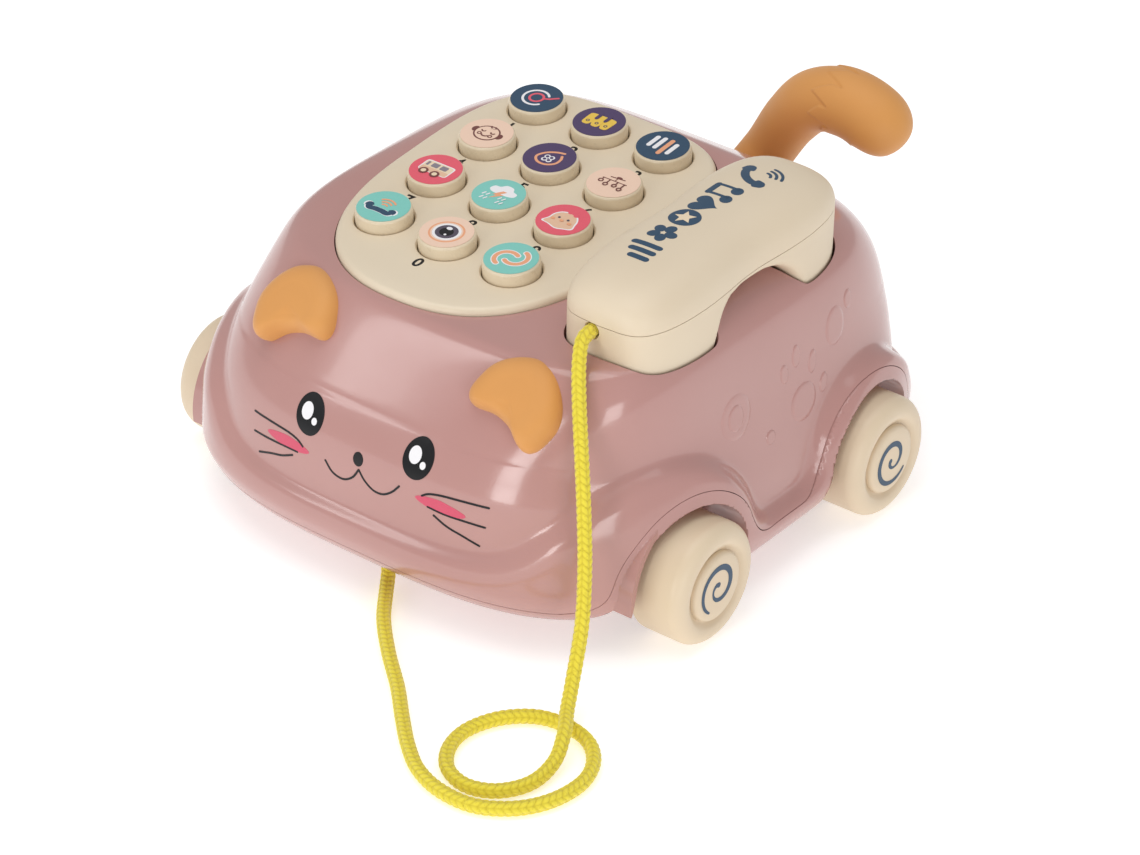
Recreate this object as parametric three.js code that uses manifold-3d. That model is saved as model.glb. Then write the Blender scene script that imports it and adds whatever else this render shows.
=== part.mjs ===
// A cat-shaped musical telephone on wheels, with a handset on a cord.
// Millimetres, +Z up, the cat's face looks to -Y, the handset lies on the +X side.

import * as THREE from 'three';
import { mergeVertices } from 'three/addons/utils/BufferGeometryUtils.js';
import Module from 'manifold-3d';

const wasm = await Module();
wasm.setup();

// ---- driving dimensions -------------------------------------------------------------

const gap = 0.3; // between pieces that touch
const wall = 2.4; // casing wall
const turn = Math.PI * 2;

const pitchX = 23; // keys, centre to centre
const pitchY = 23.3;
const keypadX = -11.5; // middle key column
const keypadZ = 88; // keypad face, at the middle of the keys
const keypadTilt = THREE.MathUtils.degToRad(5.12); // the face rises to the rear
const keyRadius = 8.3;
const keyProud = 3.8;
const keyTravel = 1.8;

const wheelRadius = 18.2;
const wheelWidth = 18;
const track = 92; // outer wheel face from the middle plane
const frontAxleY = -43.7;
const rearAxleY = 40.5;
const axleZ = wheelRadius;
const axleRadius = 1.5;

const archRadius = 21.6;
const seamRadius = 25.4;
const flareRadius = 32.5;
const floorZ = 10.6; // lowest edge of the body
const seamZ = 14.5;
const linerX = 65; // inner wall of the wheel housings

const handsetX = 54.2;
const handsetHalf = 18.4;
const handsetFront = -50.6;
const handsetRear = 44;
const handsetTop = 105;
const handsetBase = 66.5;
const partingZ = 92.3;
const partingSlope = 0.035;
const archHeight = 90.4; // underside of the grip

const cordRadius = 2;
const tailRear = 100.4; // rearmost point of the tail
const noseFront = -91; // foremost point of the bumper

// ---- small tools --------------------------------------------------------------------

// A closed three.js geometry as a solid, with its faces pointing out.
function solid(geometry) {
  const bare = geometry.clone();
  bare.deleteAttribute('normal');
  bare.deleteAttribute('uv');
  const welded = mergeVertices(bare, 1e-4);
  const xyz = welded.attributes.position.array;
  const index = welded.index.array;
  const faces = [];
  let volume = 0;
  for (let i = 0; i < index.length; i += 3) {
    const [a, b, c] = [index[i], index[i + 1], index[i + 2]];
    if (a === b || b === c || c === a) continue;
    const [p, q, r] = [a, b, c].map((k) => new THREE.Vector3().fromArray(xyz, k * 3));
    volume += p.dot(q.cross(r));
    faces.push(a, b, c);
  }
  if (volume < 0) faces.reverse();
  const mesh = new wasm.Mesh({
    numProp: 3,
    vertProperties: new Float32Array(xyz),
    triVerts: new Uint32Array(faces),
  });
  return new wasm.Manifold(mesh);
}

// A solid back as a geometry.
function geometryOf(body) {
  const mesh = body.getMesh();
  const geometry = new THREE.BufferGeometry();
  geometry.setAttribute('position', new THREE.BufferAttribute(mesh.vertProperties, 3));
  geometry.setIndex(new THREE.BufferAttribute(mesh.triVerts, 1));
  const flat = geometry.toNonIndexed();
  flat.computeVertexNormals();
  return flat;
}

function box(x, y, z) {
  const [lowX, highX] = x;
  const [lowY, highY] = y;
  const [lowZ, highZ] = z;
  const geometry = new THREE.BoxGeometry(highX - lowX, highY - lowY, highZ - lowZ);
  return geometry.translate((lowX + highX) / 2, (lowY + highY) / 2, (lowZ + highZ) / 2);
}

// A cylinder along Z, from low to high.
function post(x, y, low, high, radius, sides = 20, topRadius = radius) {
  const geometry = new THREE.CylinderGeometry(topRadius, radius, high - low, sides);
  geometry.rotateX(Math.PI / 2);
  return geometry.translate(x, y, (low + high) / 2);
}

// A cylinder along X, from low to high.
function shaft(low, high, y, z, radius, sides = 24) {
  const geometry = new THREE.CylinderGeometry(radius, radius, high - low, sides);
  geometry.rotateZ(Math.PI / 2);
  return geometry.translate((low + high) / 2, y, z);
}

// A round piece turned from [radius, height] points; its axis is Z.
function turned(points, sides) {
  const profile = points.map(([r, h]) => new THREE.Vector2(r, h));
  return new THREE.LatheGeometry(profile, sides).rotateX(Math.PI / 2);
}

// A closed skin whose rings run from t = 0 to t = 1; place(angle, t, reach) gives each
// point, with a reach of 0 at the middle of the two end caps and 1 elsewhere.
function skin(sides, steps, place) {
  const geometry = new THREE.CylinderGeometry(1, 1, 1, sides, steps);
  const position = geometry.attributes.position;
  for (let i = 0; i < position.count; i += 1) {
    const across = position.getX(i);
    const along = position.getZ(i);
    const reach = Math.min(1, Math.round(Math.hypot(across, along)));
    const point = place(Math.atan2(across, along), position.getY(i) + 0.5, reach);
    position.setXYZ(i, point[0], point[1], point[2]);
  }
  return geometry;
}

// Signed power, for super-ellipses.
function bulge(value, exponent) {
  return Math.abs(value) < 1e-6 ? 0 : Math.sign(value) * Math.abs(value) ** (2 / exponent);
}

function mix(a, b, t) {
  return a + (b - a) * t;
}

// The value at place t of rows of [place, values...], straight between rows.
function between(rows, t) {
  let k = 1;
  while (k < rows.length - 1 && rows[k][0] < t) k += 1;
  const [low, high] = [rows[k - 1], rows[k]];
  const share = (t - low[0]) / (high[0] - low[0]);
  return low.map((value, n) => mix(value, high[n], share));
}

// Height of a plane parallel to the keypad face, offset along its normal.
function keypadPlane(y, offset) {
  return keypadZ + y * Math.tan(keypadTilt) + offset / Math.cos(keypadTilt);
}

// Moves a geometry modelled flat, with its top at zero, onto the keypad face.
function onKeypad(geometry, x = 0, y = 0, offset = 0) {
  geometry.translate(x, y, offset);
  geometry.rotateX(keypadTilt);
  return geometry.translate(0, 0, keypadZ);
}

// ---- the body's outer form ----------------------------------------------------------

// Height, half width, front and rear of the body's sections.
const bodySections = [
  [floorZ, 83.6, -86.5, 88],
  [seamZ, 85.4, -88.8, 91],
  [20.5, 86.4, noseFront, 93],
  [24.5, 84.6, -89.6, 91.6],
  [27, 81.2, -87.6, 89],
  [44, 78.8, -87, 88.2],
  [53, 77.2, -82.8, 86.8],
  [64, 75, -75.4, 82.6],
  [74, 72.4, -68.6, 75.6],
  [80, 70, -64.2, 69.4],
  [84.5, 65, -59, 62.6],
  [88.5, 56, -51, 55],
  [93, 42, -36, 44],
];
const frontPower = 3.3; // how square the plan's corners are
const rearPower = 4;
const cradlePower = 1.4; // more so at the front of the handset's side, high up
const cradleSwell = 2.4; // and the casing's top is wider on that side
const bodyMiddle = -2;

function bodyForm(grow, sections = bodySections) {
  const last = sections.length - 1;
  return solid(skin(44, last, (angle, t, reach) => {
    const [z, half, front, rear] = sections[Math.round(t * last)];
    const high = THREE.MathUtils.smoothstep(z, 50, 78);
    const fuller = Math.cos(angle) > 0 ? high * cradlePower : 0;
    const power = Math.sin(angle) < 0 ? frontPower + fuller : rearPower;
    const y = bulge(Math.sin(angle), power);
    const depth = y < 0 ? bodyMiddle - front + grow : rear - bodyMiddle + grow;
    const lift = z === floorZ ? -grow : 0;
    return [
      high * cradleSwell + reach * (half + grow) * bulge(Math.cos(angle), power),
      bodyMiddle + reach * y * depth,
      z + lift,
    ];
  }));
}

// The wider outline that the wheel arches swell out to.
const flareSections = [
  [floorZ, 83.6, -86.5, 88],
  [seamZ, 85.4, -88.8, 91],
  [20.5, 86.6, noseFront, 93],
  [34, 86.4, -90, 92.6],
  [44, 84.6, -87, 91],
  [56, 80, -80, 88],
];

function overBothAxles(make) {
  return make(frontAxleY).add(make(rearAxleY));
}

function overFourWheels(low, high, radius, sides = 24) {
  const pair = (y) => solid(shaft(low, high, y, axleZ, radius, sides))
    .add(solid(shaft(-high, -low, y, axleZ, radius, sides)));
  return overBothAxles(pair);
}

const far = 120;
// Everything below a plane parallel to the keypad face.
function belowKeypad(offset) {
  return solid(onKeypad(box([-far, far], [-far, far], [offset - 2 * far, offset])));
}

const shellTop = -2.4; // the casing's flat top, under the keypad face
function outerBody(grow) {
  const wide = bodyForm(grow, flareSections).intersect(overFourWheels(60, 95, flareRadius + grow));
  return bodyForm(grow).add(wide).intersect(belowKeypad(shellTop + grow));
}

// ---- keypad -------------------------------------------------------------------------

const panelX = -9.2;
const panelHalf = 43.4;
const panelFront = -61.6;
const panelRear = 49.8;
const panelMiddle = -5.8;

// The keypad's egg-shaped outline, rounder at the front, with its rim rounded over.
function panelForm(grow, layers) {
  const last = layers.length - 1;
  return skin(36, last, (angle, t, reach) => {
    const [z, inset] = layers[Math.round(t * last)];
    const y = Math.sin(angle);
    const power = y < 0 ? 2.4 : 3.7;
    const depth = y < 0 ? panelMiddle - panelFront : panelRear - panelMiddle;
    return [
      panelX + reach * (panelHalf + grow - inset) * bulge(Math.cos(angle), power),
      panelMiddle + reach * (depth + grow - inset) * bulge(y, power),
      z,
    ];
  });
}

const keys = [];
for (let row = 0; row < 4; row += 1) {
  for (let column = 0; column < 3; column += 1) {
    keys.push([keypadX + (column - 1) * pitchX, (1.5 - row) * pitchY]);
  }
}

function keypadPanel() {
  const plate = solid(onKeypad(panelForm(0, [[-5.5, 0], [-1.6, 0], [-0.5, 0.5], [0, 1.6]])));
  const holes = keys.map(([x, y]) => solid(onKeypad(post(x, y, -8, 2, keyRadius + gap, 14))));
  return holes.reduce((body, hole) => body.subtract(hole), plate);
}

// A cap that stands proud, with a flange below the keypad plate that keeps it in.
const flangeTop = -6; // heights from the keypad face
const flangeBase = -7.2;
function keyCap(x, y) {
  const flange = keyRadius + 1.3;
  const profile = [
    [0, keyProud], [keyRadius - 0.6, keyProud], [keyRadius, keyProud - 0.6],
    [keyRadius, flangeTop], [flange, flangeTop], [flange, flangeBase], [0, flangeBase],
  ];
  return onKeypad(turned(profile, 14), x, y);
}

// The rubber sheet under the keys, with a low dome that each pressed key comes down to.
const domeTop = flangeBase - keyTravel - gap;
const padTop = domeTop - 2.1;
function keypadRubber() {
  const sheet = box([keypadX - 35, keypadX + 35], [-46, 46], [padTop - 1.4, padTop]);
  const dome = ([x, y]) => solid(onKeypad(post(x, y, padTop - 0.7, domeTop, 6, 10, 4)));
  return keys.map(dome).reduce((body, bump) => body.add(bump), solid(onKeypad(sheet)));
}

function circuitBoard() {
  return onKeypad(box([keypadX - 36, keypadX + 36], [-48, 47], [padTop - 3.3, padTop - 1.7]));
}

// ---- casing -------------------------------------------------------------------------

// Plan outline of the handset: its reach across and along, at angle, grown all round.
function handsetPlan(angle, grow) {
  const middle = (handsetFront + handsetRear) / 2;
  const length = (handsetRear - handsetFront) / 2;
  return [
    handsetX + (handsetHalf - 0.9 + grow) * bulge(Math.cos(angle), 4.5),
    middle + (length - 0.9 + grow) * bulge(Math.sin(angle), 6),
  ];
}

const frontLobe = [-60, -17.5]; // where the handset's two ends dip into the casing
const rearLobe = [13, 54];

// The space of the cradle, or with a larger grow the cup round it.
function cradle(grow, low) {
  const column = solid(skin(36, 1, (angle, t, reach) => {
    const [x, y] = handsetPlan(angle, grow);
    const middle = (handsetFront + handsetRear) / 2;
    return [mix(handsetX, x, reach), mix(middle, y, reach), mix(low, 110, t)];
  }));
  const lobe = ([from, to]) => solid(box([20, 90], [from - grow, to + grow], [40, 120]));
  return column.intersect(lobe(frontLobe).add(lobe(rearLobe)));
}

const cradleRoom = 1; // all round the handset
const cupFloor = handsetBase - 0.6;
const screwPosts = [[-50, -58], [46, -58], [-50, 54], [46, 56]];

function upperShell() {
  const above = solid(box([-far, far], [-far, far], [seamZ + gap / 2, 130]));
  let body = outerBody(0).subtract(innerSpace(-wall));
  const cup = cradle(cradleRoom + 2, cupFloor - 2).intersect(outerBody(0));
  body = body.add(cup);
  screwPosts.forEach(([x, y]) => {
    const pillar = solid(post(x, y, seamZ + 0.4, 100, 4.2, 16));
    body = body.add(pillar.intersect(outerBody(-0.6)));
  });
  screwPosts.forEach(([x, y]) => {
    body = body.subtract(solid(post(x, y, 0, seamZ + 12, 1.8, 12)));
  });
  body = body.subtract(cradle(cradleRoom, cupFloor)).subtract(handsetForm(-cradleRoom));
  body = body.subtract(solid(onKeypad(panelForm(0.4, [[-30, 0], [10, 0]]))));
  body = body.subtract(overFourWheels(62, 95, seamRadius + gap / 2));
  body = body.intersect(above);
  earPegs(gap).concat(tailPeg(gap)).forEach((peg) => {
    body = body.subtract(peg);
  });
  return body;
}

// The hollow inside the body, straight down behind the bumper's swelling.
function innerSpace(grow) {
  const waist = bodySections[4];
  const rows = [0, 4, 6, 8, 10, 12].map((k) => bodySections[k]);
  const sections = rows.map(([z, half, front, rear]) => [
    z, Math.min(half, waist[1]), Math.max(front, waist[2]), Math.min(rear, waist[3]),
  ]);
  return bodyForm(grow, sections).intersect(belowKeypad(shellTop + grow));
}

// Battery bay, speaker and switch places in the chassis floor.
const floorTop = 14.3;
const bay = { x: [-4, 44], y: [-29, 27], top: 31 };
const doorLedge = 3; // how far the door's recess reaches past the bay
const saddleX = [-40, 40];
const speakerSpot = [-32, 0];
const switchSpot = [-32, -34];
const knotSpot = [4, -79];
const speakerRadius = 20;

// A block that reaches past a place's plan by grow.
function around(place, grow, z) {
  const { x, y } = place;
  return box([x[0] - grow, x[1] + grow], [y[0] - grow, y[1] + grow], z);
}

function lowerChassis() {
  const slab = (low, high) => solid(box([-far, far], [-far, far], [low, high]));
  const rims = overFourWheels(62, 95, seamRadius - gap / 2);
  const outer = outerBody(0).intersect(slab(0, seamZ - gap / 2).add(rims));
  let body = outer.subtract(innerSpace(-wall).intersect(slab(floorTop, 90)));
  const housing = overFourWheels(linerX - 2, 84, archRadius + 2);
  body = body.add(housing.intersect(outerBody(-0.5)).intersect(slab(floorZ + 1, 60)));
  body = body.subtract(overFourWheels(linerX, 95, archRadius));
  // saddles that carry the axles, open at the top
  const slot = axleRadius + gap;
  [frontAxleY, rearAxleY].forEach((y) => {
    saddleX.forEach((x) => {
      body = body.add(solid(box([x - 4, x + 4], [y - 5, y + 5], [floorZ + 1, axleZ + 3])));
      body = body.subtract(solid(box([x - 6, x + 6], [y - slot, y + slot], [axleZ, 40])));
    });
    body = body.subtract(solid(shaft(-70, 70, y, axleZ, slot)));
  });
  const bayWall = 2;
  body = body.add(solid(around(bay, bayWall, [floorZ + 0.4, bay.top])));
  body = body.subtract(solid(around(bay, 0, [0, bay.top - 1.8])));
  body = body.subtract(solid(around(bay, doorLedge, [0, floorZ + 1.9])));
  for (let ring = 0; ring < 2; ring += 1) {
    const count = 5 + ring * 5;
    for (let k = 0; k < count; k += 1) {
      const angle = (k / count) * turn;
      const reach = 6 + ring * 6;
      const x = speakerSpot[0] + reach * Math.cos(angle);
      const y = speakerSpot[1] + reach * Math.sin(angle);
      body = body.subtract(solid(post(x, y, 0, 20, 1.3, 8)));
    }
  }
  body = body.subtract(solid(box([switchSpot[0] - 2.5, switchSpot[0] + 2.5],
    [switchSpot[1] - 5, switchSpot[1] + 5], [0, 20])));
  screwPosts.forEach(([x, y]) => {
    body = body.subtract(solid(post(x, y, 0, 30, 1.8, 12)));
    body = body.subtract(solid(post(x, y, 0, floorZ + 1.6, 3.4, 16)));
  });
  return body.subtract(solid(post(knotSpot[0], knotSpot[1], 0, 20, cordRadius + gap, 12)));
}

// ---- handset ------------------------------------------------------------------------

function partingHeight(y) {
  return partingZ + partingSlope * y;
}

// Underside of the handset along its length: two deep ends and an arched grip.
const underside = [
  [-60, 67.5], [-48, handsetBase], [-22.5, handsetBase], [-20.5, 78], [-17, 87], [-12, 90],
  [-6, archHeight], [0, archHeight], [8, 88.6], [16, 83], [20.5, 78], [22.5, handsetBase + 1],
  [38, handsetBase + 1], [60, 69],
];

// The whole handset shape, shrunk by inset; its cross-section is crowned above the
// parting line and nearly square below it.
function handsetForm(inset) {
  const middle = (handsetFront + handsetRear) / 2;
  const length = (handsetRear - handsetFront) / 2 - inset;
  const steps = 18;
  return solid(skin(18, steps, (angle, t, reach) => {
    const along = -Math.cos(Math.PI * mix(0.035, 0.965, t));
    const y = middle + along * length;
    const roundness = (1 - Math.abs(along) ** 5) ** (1 / 5);
    const waist = 1.6 * Math.exp(-(((y + 3) / 15) ** 2));
    const across = (handsetHalf - inset - waist) * roundness;
    const parting = partingHeight(y);
    const crown = (handsetTop - inset - partingZ) * (1 - Math.abs(along) ** 3.4) ** (1 / 3.4);
    const depth = Math.max(0.2, parting - between(underside, y)[1] - inset);
    const sine = Math.sin(angle);
    const power = sine < 0 ? 9 : 2.7;
    const draft = sine < 0 ? 1 - 0.04 * -sine : 1;
    return [
      handsetX + reach * across * draft * bulge(Math.cos(angle), power),
      y,
      parting + reach * (sine < 0 ? depth : crown) * bulge(sine, power),
    ];
  }));
}

// A slab above (side = 1) or below (side = -1) the handset's parting line.
function partingSide(side, offset) {
  const slab = box([-far, far], [-far, far], side > 0 ? [offset, far] : [-far, offset]);
  slab.rotateX(Math.atan(partingSlope));
  return solid(slab.translate(0, 0, partingZ));
}

const cordHole = [handsetX - 2.3, 88.2]; // across and up, in the handset's front end
const handsetPosts = [[handsetX, -36], [handsetX, 33]];

function handsetUpper() {
  const hollow = handsetForm(2.2).intersect(partingSide(1, -5));
  let body = handsetForm(0).intersect(partingSide(1, gap / 2)).subtract(hollow);
  handsetPosts.forEach(([x, y]) => {
    const pillar = solid(post(x, y, 84, 110, 3.6, 14)).intersect(handsetForm(0.5));
    body = body.add(pillar.intersect(partingSide(1, -8)));
    body = body.subtract(solid(post(x, y, 60, 96, 1.6, 10)));
  });
  return body;
}

function handsetLower() {
  const hollow = handsetForm(2.2).intersect(partingSide(-1, 5));
  let body = handsetForm(0).intersect(partingSide(-1, -gap / 2)).subtract(hollow);
  handsetPosts.forEach(([x, y]) => {
    body = body.add(solid(post(x, y, handsetBase + 1.2, 83.6, 3.6, 14)));
    body = body.subtract(solid(post(x, y, 60, 90, 1.6, 10)));
    body = body.subtract(solid(post(x, y, 60, handsetBase + 4, 3.1, 14)));
  });
  const hole = new THREE.CylinderGeometry(cordRadius + gap, cordRadius + gap, 12, 12);
  return body.subtract(solid(hole.translate(cordHole[0], handsetFront + 2, cordHole[1])));
}

function handsetScrew([x, y]) {
  const profile = [[0, 0.6], [2.7, 0.6], [2.7, 2.6], [1.3, 2.6], [1.3, 17], [0, 18]];
  return turned(profile, 14).translate(x, y, handsetBase + 1);
}

// ---- soft orange pieces ---------------------------------------------------------------

// One ear: a petal lying on the casing's brow, its hollowed edge to the front.
const earSpan = 39; // each ear from the face's middle line
const faceX = 2.8; // the face sits a little to the handset's side
const earSpot = [earSpan, -70.2, 70.2];
const earLean = 0.72; // how far the petal leans back from upright, radians

function earForm(side) {
  const petal = skin(26, 5, (angle, t, reach) => {
    const across = Math.cos(angle);
    const along = Math.sin(angle);
    const tip = Math.max(0, along);
    const width = 14.8 * (1 - 0.3 * tip * tip);
    const notch = 6 * Math.max(0, -along) * Math.exp(-((across * 1.5) ** 2));
    const swell = Math.sqrt(Math.max(0, 1 - (2 * t - 1) ** 2 * 0.86));
    return [
      reach * swell * width * bulge(across, 2.6),
      reach * swell * (along < 0 ? 12 * bulge(along, 3.4) + notch : 14.5 * bulge(along, 2.2)),
      mix(-7, 5.6, t) - 0.5,
    ];
  });
  petal.rotateZ(-0.42);
  petal.rotateX(earLean);
  petal.rotateZ(0.16);
  petal.translate(...earSpot);
  if (side < 0) petal.scale(-1, 1, 1);
  return solid(petal.translate(faceX, 0, 0));
}

function earPeg(side, grow) {
  const peg = new THREE.CylinderGeometry(3.5 + grow, 3.5 + grow, 16, 14);
  peg.rotateX(Math.PI / 2 + earLean);
  peg.translate(faceX + side * (earSpan - 1), earSpot[1] + 4.5, earSpot[2] - 5);
  return solid(peg);
}

function earPegs(grow) {
  return [earPeg(-1, grow), earPeg(1, grow)];
}

function ear(side) {
  return earForm(side).subtract(outerBody(gap)).add(earPeg(side, 0).subtract(innerCore()));
}

// What lies deeper than the pegs reach.
function innerCore() {
  return innerSpace(-wall - 3);
}

// The tail's middle line: out of the rear wall, up, over and down to the side.
const tailLine = new THREE.CatmullRomCurve3([
  [2, 76, 57], [6, 84, 62], [10.5, 89.5, 70.5], [17.5, 91, 83], [26, 90.5, 92],
  [37.5, 90, 95.4], [48, 90, 92.6], [54.5, 90, 84.5],
].map((p) => new THREE.Vector3(...p)));

function tailForm() {
  const steps = 16;
  const frames = tailLine.computeFrenetFrames(steps, false);
  return solid(skin(14, steps, (angle, t, reach) => {
    const k = Math.round(t * steps);
    const end = Math.sqrt(Math.max(0.03, 1 - Math.max(0, (t - 0.8) / 0.2) ** 2));
    const centre = tailLine.getPointAt(t - (1 - end) * 0.03);
    const radius = reach * end * mix(8, 9.9, THREE.MathUtils.smoothstep(t, 0.25, 0.75));
    return centre
      .addScaledVector(frames.binormals[k], radius * Math.cos(angle))
      .addScaledVector(frames.normals[k], radius * Math.sin(angle))
      .toArray();
  }));
}

function tailPeg(grow) {
  const peg = new THREE.CylinderGeometry(4.5 + grow, 4.5 + grow, 14, 16);
  return [solid(peg.translate(2.5, 79, 58.6))];
}

function tail() {
  return tailForm().subtract(outerBody(gap)).add(tailPeg(0)[0].subtract(innerCore()));
}

// ---- wheels ---------------------------------------------------------------------------

// Distances are from the wheel's inner face; the hub cap closes the bore outside.
const capSeat = wheelWidth - 2;
function wheel() {
  return turned([
    [axleRadius + gap, 3], [5, 3], [5, 9], [14.6, 9], [14.6, 0], [16.4, 0.4],
    [wheelRadius, 3], [wheelRadius, 13.4], [17.2, 16.4], [15, wheelWidth],
    [11.8, wheelWidth - 0.4], [11.2, capSeat], [axleRadius + gap, capSeat],
  ].concat([[axleRadius + gap, 3]]), 24);
}

function hubCap() {
  const radius = 10.6;
  return turned([
    [0, wheelWidth + 0.4], [radius - 1.4, wheelWidth + 0.2], [radius, wheelWidth - 0.6],
    [radius, capSeat + gap], [0, capSeat + gap],
  ], 24);
}

function toWheelPlace(geometry, side, y) {
  geometry.rotateY(Math.PI / 2).translate(track - wheelWidth, y, axleZ);
  return side > 0 ? geometry : geometry.rotateZ(Math.PI).translate(0, 2 * y, 0);
}

// ---- inside the casing ----------------------------------------------------------------

const doorScrewSpot = [bay.x[0] - 0.5, 23];
function batteryDoor() {
  const plate = solid(around(bay, doorLedge - 0.4, [floorZ + 0.1, floorZ + 1.5]));
  return plate.subtract(solid(post(...doorScrewSpot, 0, 20, 1.6, 12)));
}

const cellRadius = 7.1;
const cellLength = 50.2;
function batteryCell(k) {
  const profile = [
    [0, cellLength / 2 + 1.2], [2.7, cellLength / 2 + 1.2], [2.7, cellLength / 2],
    [cellRadius, cellLength / 2], [cellRadius, -cellLength / 2], [0, -cellLength / 2],
  ];
  const geometry = turned(profile, 16).rotateX(Math.PI / 2 + (k % 2) * Math.PI);
  const x = mix(bay.x[0], bay.x[1], (k + 0.5) / 3);
  return geometry.translate(x, mix(bay.y[0], bay.y[1], 0.5), floorZ + 1.9 + cellRadius + 0.4);
}

function contactPlate(y) {
  return box([bay.x[0] + 0.6, bay.x[1] - 0.6], [y - 0.25, y + 0.25], [floorZ + 5, bay.top - 3]);
}

function speakerFrame() {
  const r = speakerRadius;
  const profile = [
    [r - 5, 0], [r, 0], [r, 1.6], [r - 3, 2.2], [11, 8.5], [9, 8.5], [9, 7.5], [r - 5, 1.2],
  ];
  return turned(profile.concat([profile[0]]), 20)
    .translate(speakerSpot[0], speakerSpot[1], floorTop + gap);
}

function speakerCone() {
  const profile = [[0, 6.8], [8.2, 6.8], [14.4, 0.9], [13.6, 0.3], [7.4, 5.4], [0, 5.4]];
  return turned(profile, 20).translate(speakerSpot[0], speakerSpot[1], floorTop + gap);
}

function speakerMagnet() {
  return post(speakerSpot[0], speakerSpot[1], floorTop + 9.2, floorTop + 16, 10, 24);
}

function switchBody() {
  const [x, y] = switchSpot;
  return box([x - 4, x + 4], [y - 7, y + 7], [floorTop + 1.2, floorTop + 6]);
}

function switchKnob() {
  const [x, y] = switchSpot;
  const low = floorZ - 0.2;
  const top = floorTop + 0.9;
  const stem = solid(box([x - 2, x + 2], [y - 4.6, y - 0.6], [low, top]));
  return stem.add(solid(box([x - 3.4, x + 3.4], [y - 5.6, y + 0.4], [top - 0.6, top])));
}

function casingScrew([x, y]) {
  const profile = [[0, 0], [2.9, 0], [2.9, 1.1], [1.4, 1.3], [1.4, 12], [0, 12]];
  return turned(profile, 12).translate(x, y, floorZ + 0.2);
}

function doorScrew() {
  const profile = [[0, -0.9], [2.6, -0.9], [2.6, -0.2], [1.2, -0.2], [1.2, 1.6], [0, 1.6]];
  return turned(profile, 14).translate(...doorScrewSpot, floorZ);
}

function axleKeeper(x, y) {
  return box([x - 3.6, x + 3.6], [y - 8, y + 8], [axleZ + 3.3, axleZ + 5.3]);
}

// ---- cord -----------------------------------------------------------------------------

// From the handset's front end, over the brow beside the ear and down past the bumper,
// round one loop on the floor and back up under the front edge.
const floorLevel = 2.2;
const cordPath = new THREE.CatmullRomCurve3([
  [cordHole[0], handsetFront - 0.4, cordHole[1]],
  [52.6, -55.5, 87.6], [55, -60, 84], [59.4, -65.5, 76.5], [64.6, -71, 66], [70, -76.5, 53],
  [75, -82, 38], [79, -88, 24], [82, -95.5, 11.2], [86, -103, 6.9],
  [91, -110.6, 6.2], [94.6, -119.5, 3.4], [94.6, -129.5, floorLevel],
  [89.6, -138, floorLevel], [82, -141, floorLevel], [74, -138.5, floorLevel],
  [68.4, -131.6, floorLevel], [66.6, -122.5, floorLevel], [70.2, -112, floorLevel],
  [77.8, -105, floorLevel], [86.4, -103.4, floorLevel], [95, -105.4, floorLevel],
  [101.6, -111.5, floorLevel], [105, -120.5, floorLevel], [103.6, -132, floorLevel],
  [98, -141, floorLevel], [89, -146.6, floorLevel], [78, -147, floorLevel],
  [68, -143.6, floorLevel], [59, -137, floorLevel], [50, -128.5, floorLevel],
  [40, -118.5, floorLevel + 0.2], [28, -108, floorLevel + 0.8], [17.5, -97.5, 3.6],
  [9.5, -87, 3.2], [5.6, -81.4, 4.4], [4.2, -79.3, 6.8], [...knotSpot, floorZ - 1.2],
].map((p) => new THREE.Vector3(...p)));

function cordTube() {
  const section = new THREE.Shape();
  const sides = 8;
  for (let k = 0; k < sides; k += 1) {
    const angle = ((k + 0.5) / sides) * turn;
    const point = [cordRadius * Math.cos(angle), cordRadius * Math.sin(angle)];
    if (k === 0) section.moveTo(...point);
    else section.lineTo(...point);
  }
  return new THREE.ExtrudeGeometry(section, { steps: 72, extrudePath: cordPath });
}

// The knots that hold the cord's two ends, each with the short length inside its hole.
function handsetKnot() {
  const [x, z] = cordHole;
  const ball = new THREE.SphereGeometry(3.6, 10, 8).translate(x, handsetFront + 6.4, z);
  const stub = new THREE.CylinderGeometry(cordRadius, cordRadius, 5.5, 10);
  return solid(ball).add(solid(stub.translate(x, handsetFront + 2.75, z)));
}

function chassisKnot() {
  const [x, y] = knotSpot;
  const ball = new THREE.SphereGeometry(3.6, 10, 8).translate(x, y, floorTop + 3.7);
  return solid(ball).add(solid(post(x, y, floorZ, floorTop + 2, cordRadius, 10)));
}

// ---- assembly -------------------------------------------------------------------------

const finishes = {
  pink: [0xc0958f, 0.22, 0],
  cream: [0xe6d8bd, 0.42, 0],
  orange: [0xdea25e, 0.6, 0],
  rubber: [0xb9b7b0, 0.8, 0],
  board: [0x2f6b44, 0.5, 0],
  steel: [0xb8bbbe, 0.35, 1],
  dark: [0x2b2b2e, 0.5, 0],
  cell: [0x3a6ea5, 0.4, 0],
  cord: [0xe8d84a, 0.85, 0],
};

const car = new THREE.Group();

function put(name, finish, shape) {
  const [color, roughness, metalness] = finishes[finish];
  const body = shape instanceof THREE.BufferGeometry ? solid(shape) : shape;
  const material = new THREE.MeshStandardMaterial({ color, roughness, metalness });
  const mesh = new THREE.Mesh(geometryOf(body), material);
  mesh.name = name;
  car.add(mesh);
}

put('upper_shell', 'pink', upperShell());
put('lower_chassis', 'pink', lowerChassis());
put('keypad_panel', 'cream', keypadPanel());
keys.forEach(([x, y], k) => put(`key_${k + 1}`, 'cream', keyCap(x, y)));
put('keypad_rubber', 'rubber', keypadRubber());
put('circuit_board', 'board', circuitBoard());

put('handset_upper', 'cream', handsetUpper());
put('handset_lower', 'cream', handsetLower());
put('handset_screw_front', 'steel', handsetScrew(handsetPosts[0]));
put('handset_screw_rear', 'steel', handsetScrew(handsetPosts[1]));
put('handset_knot', 'cord', handsetKnot());

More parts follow.
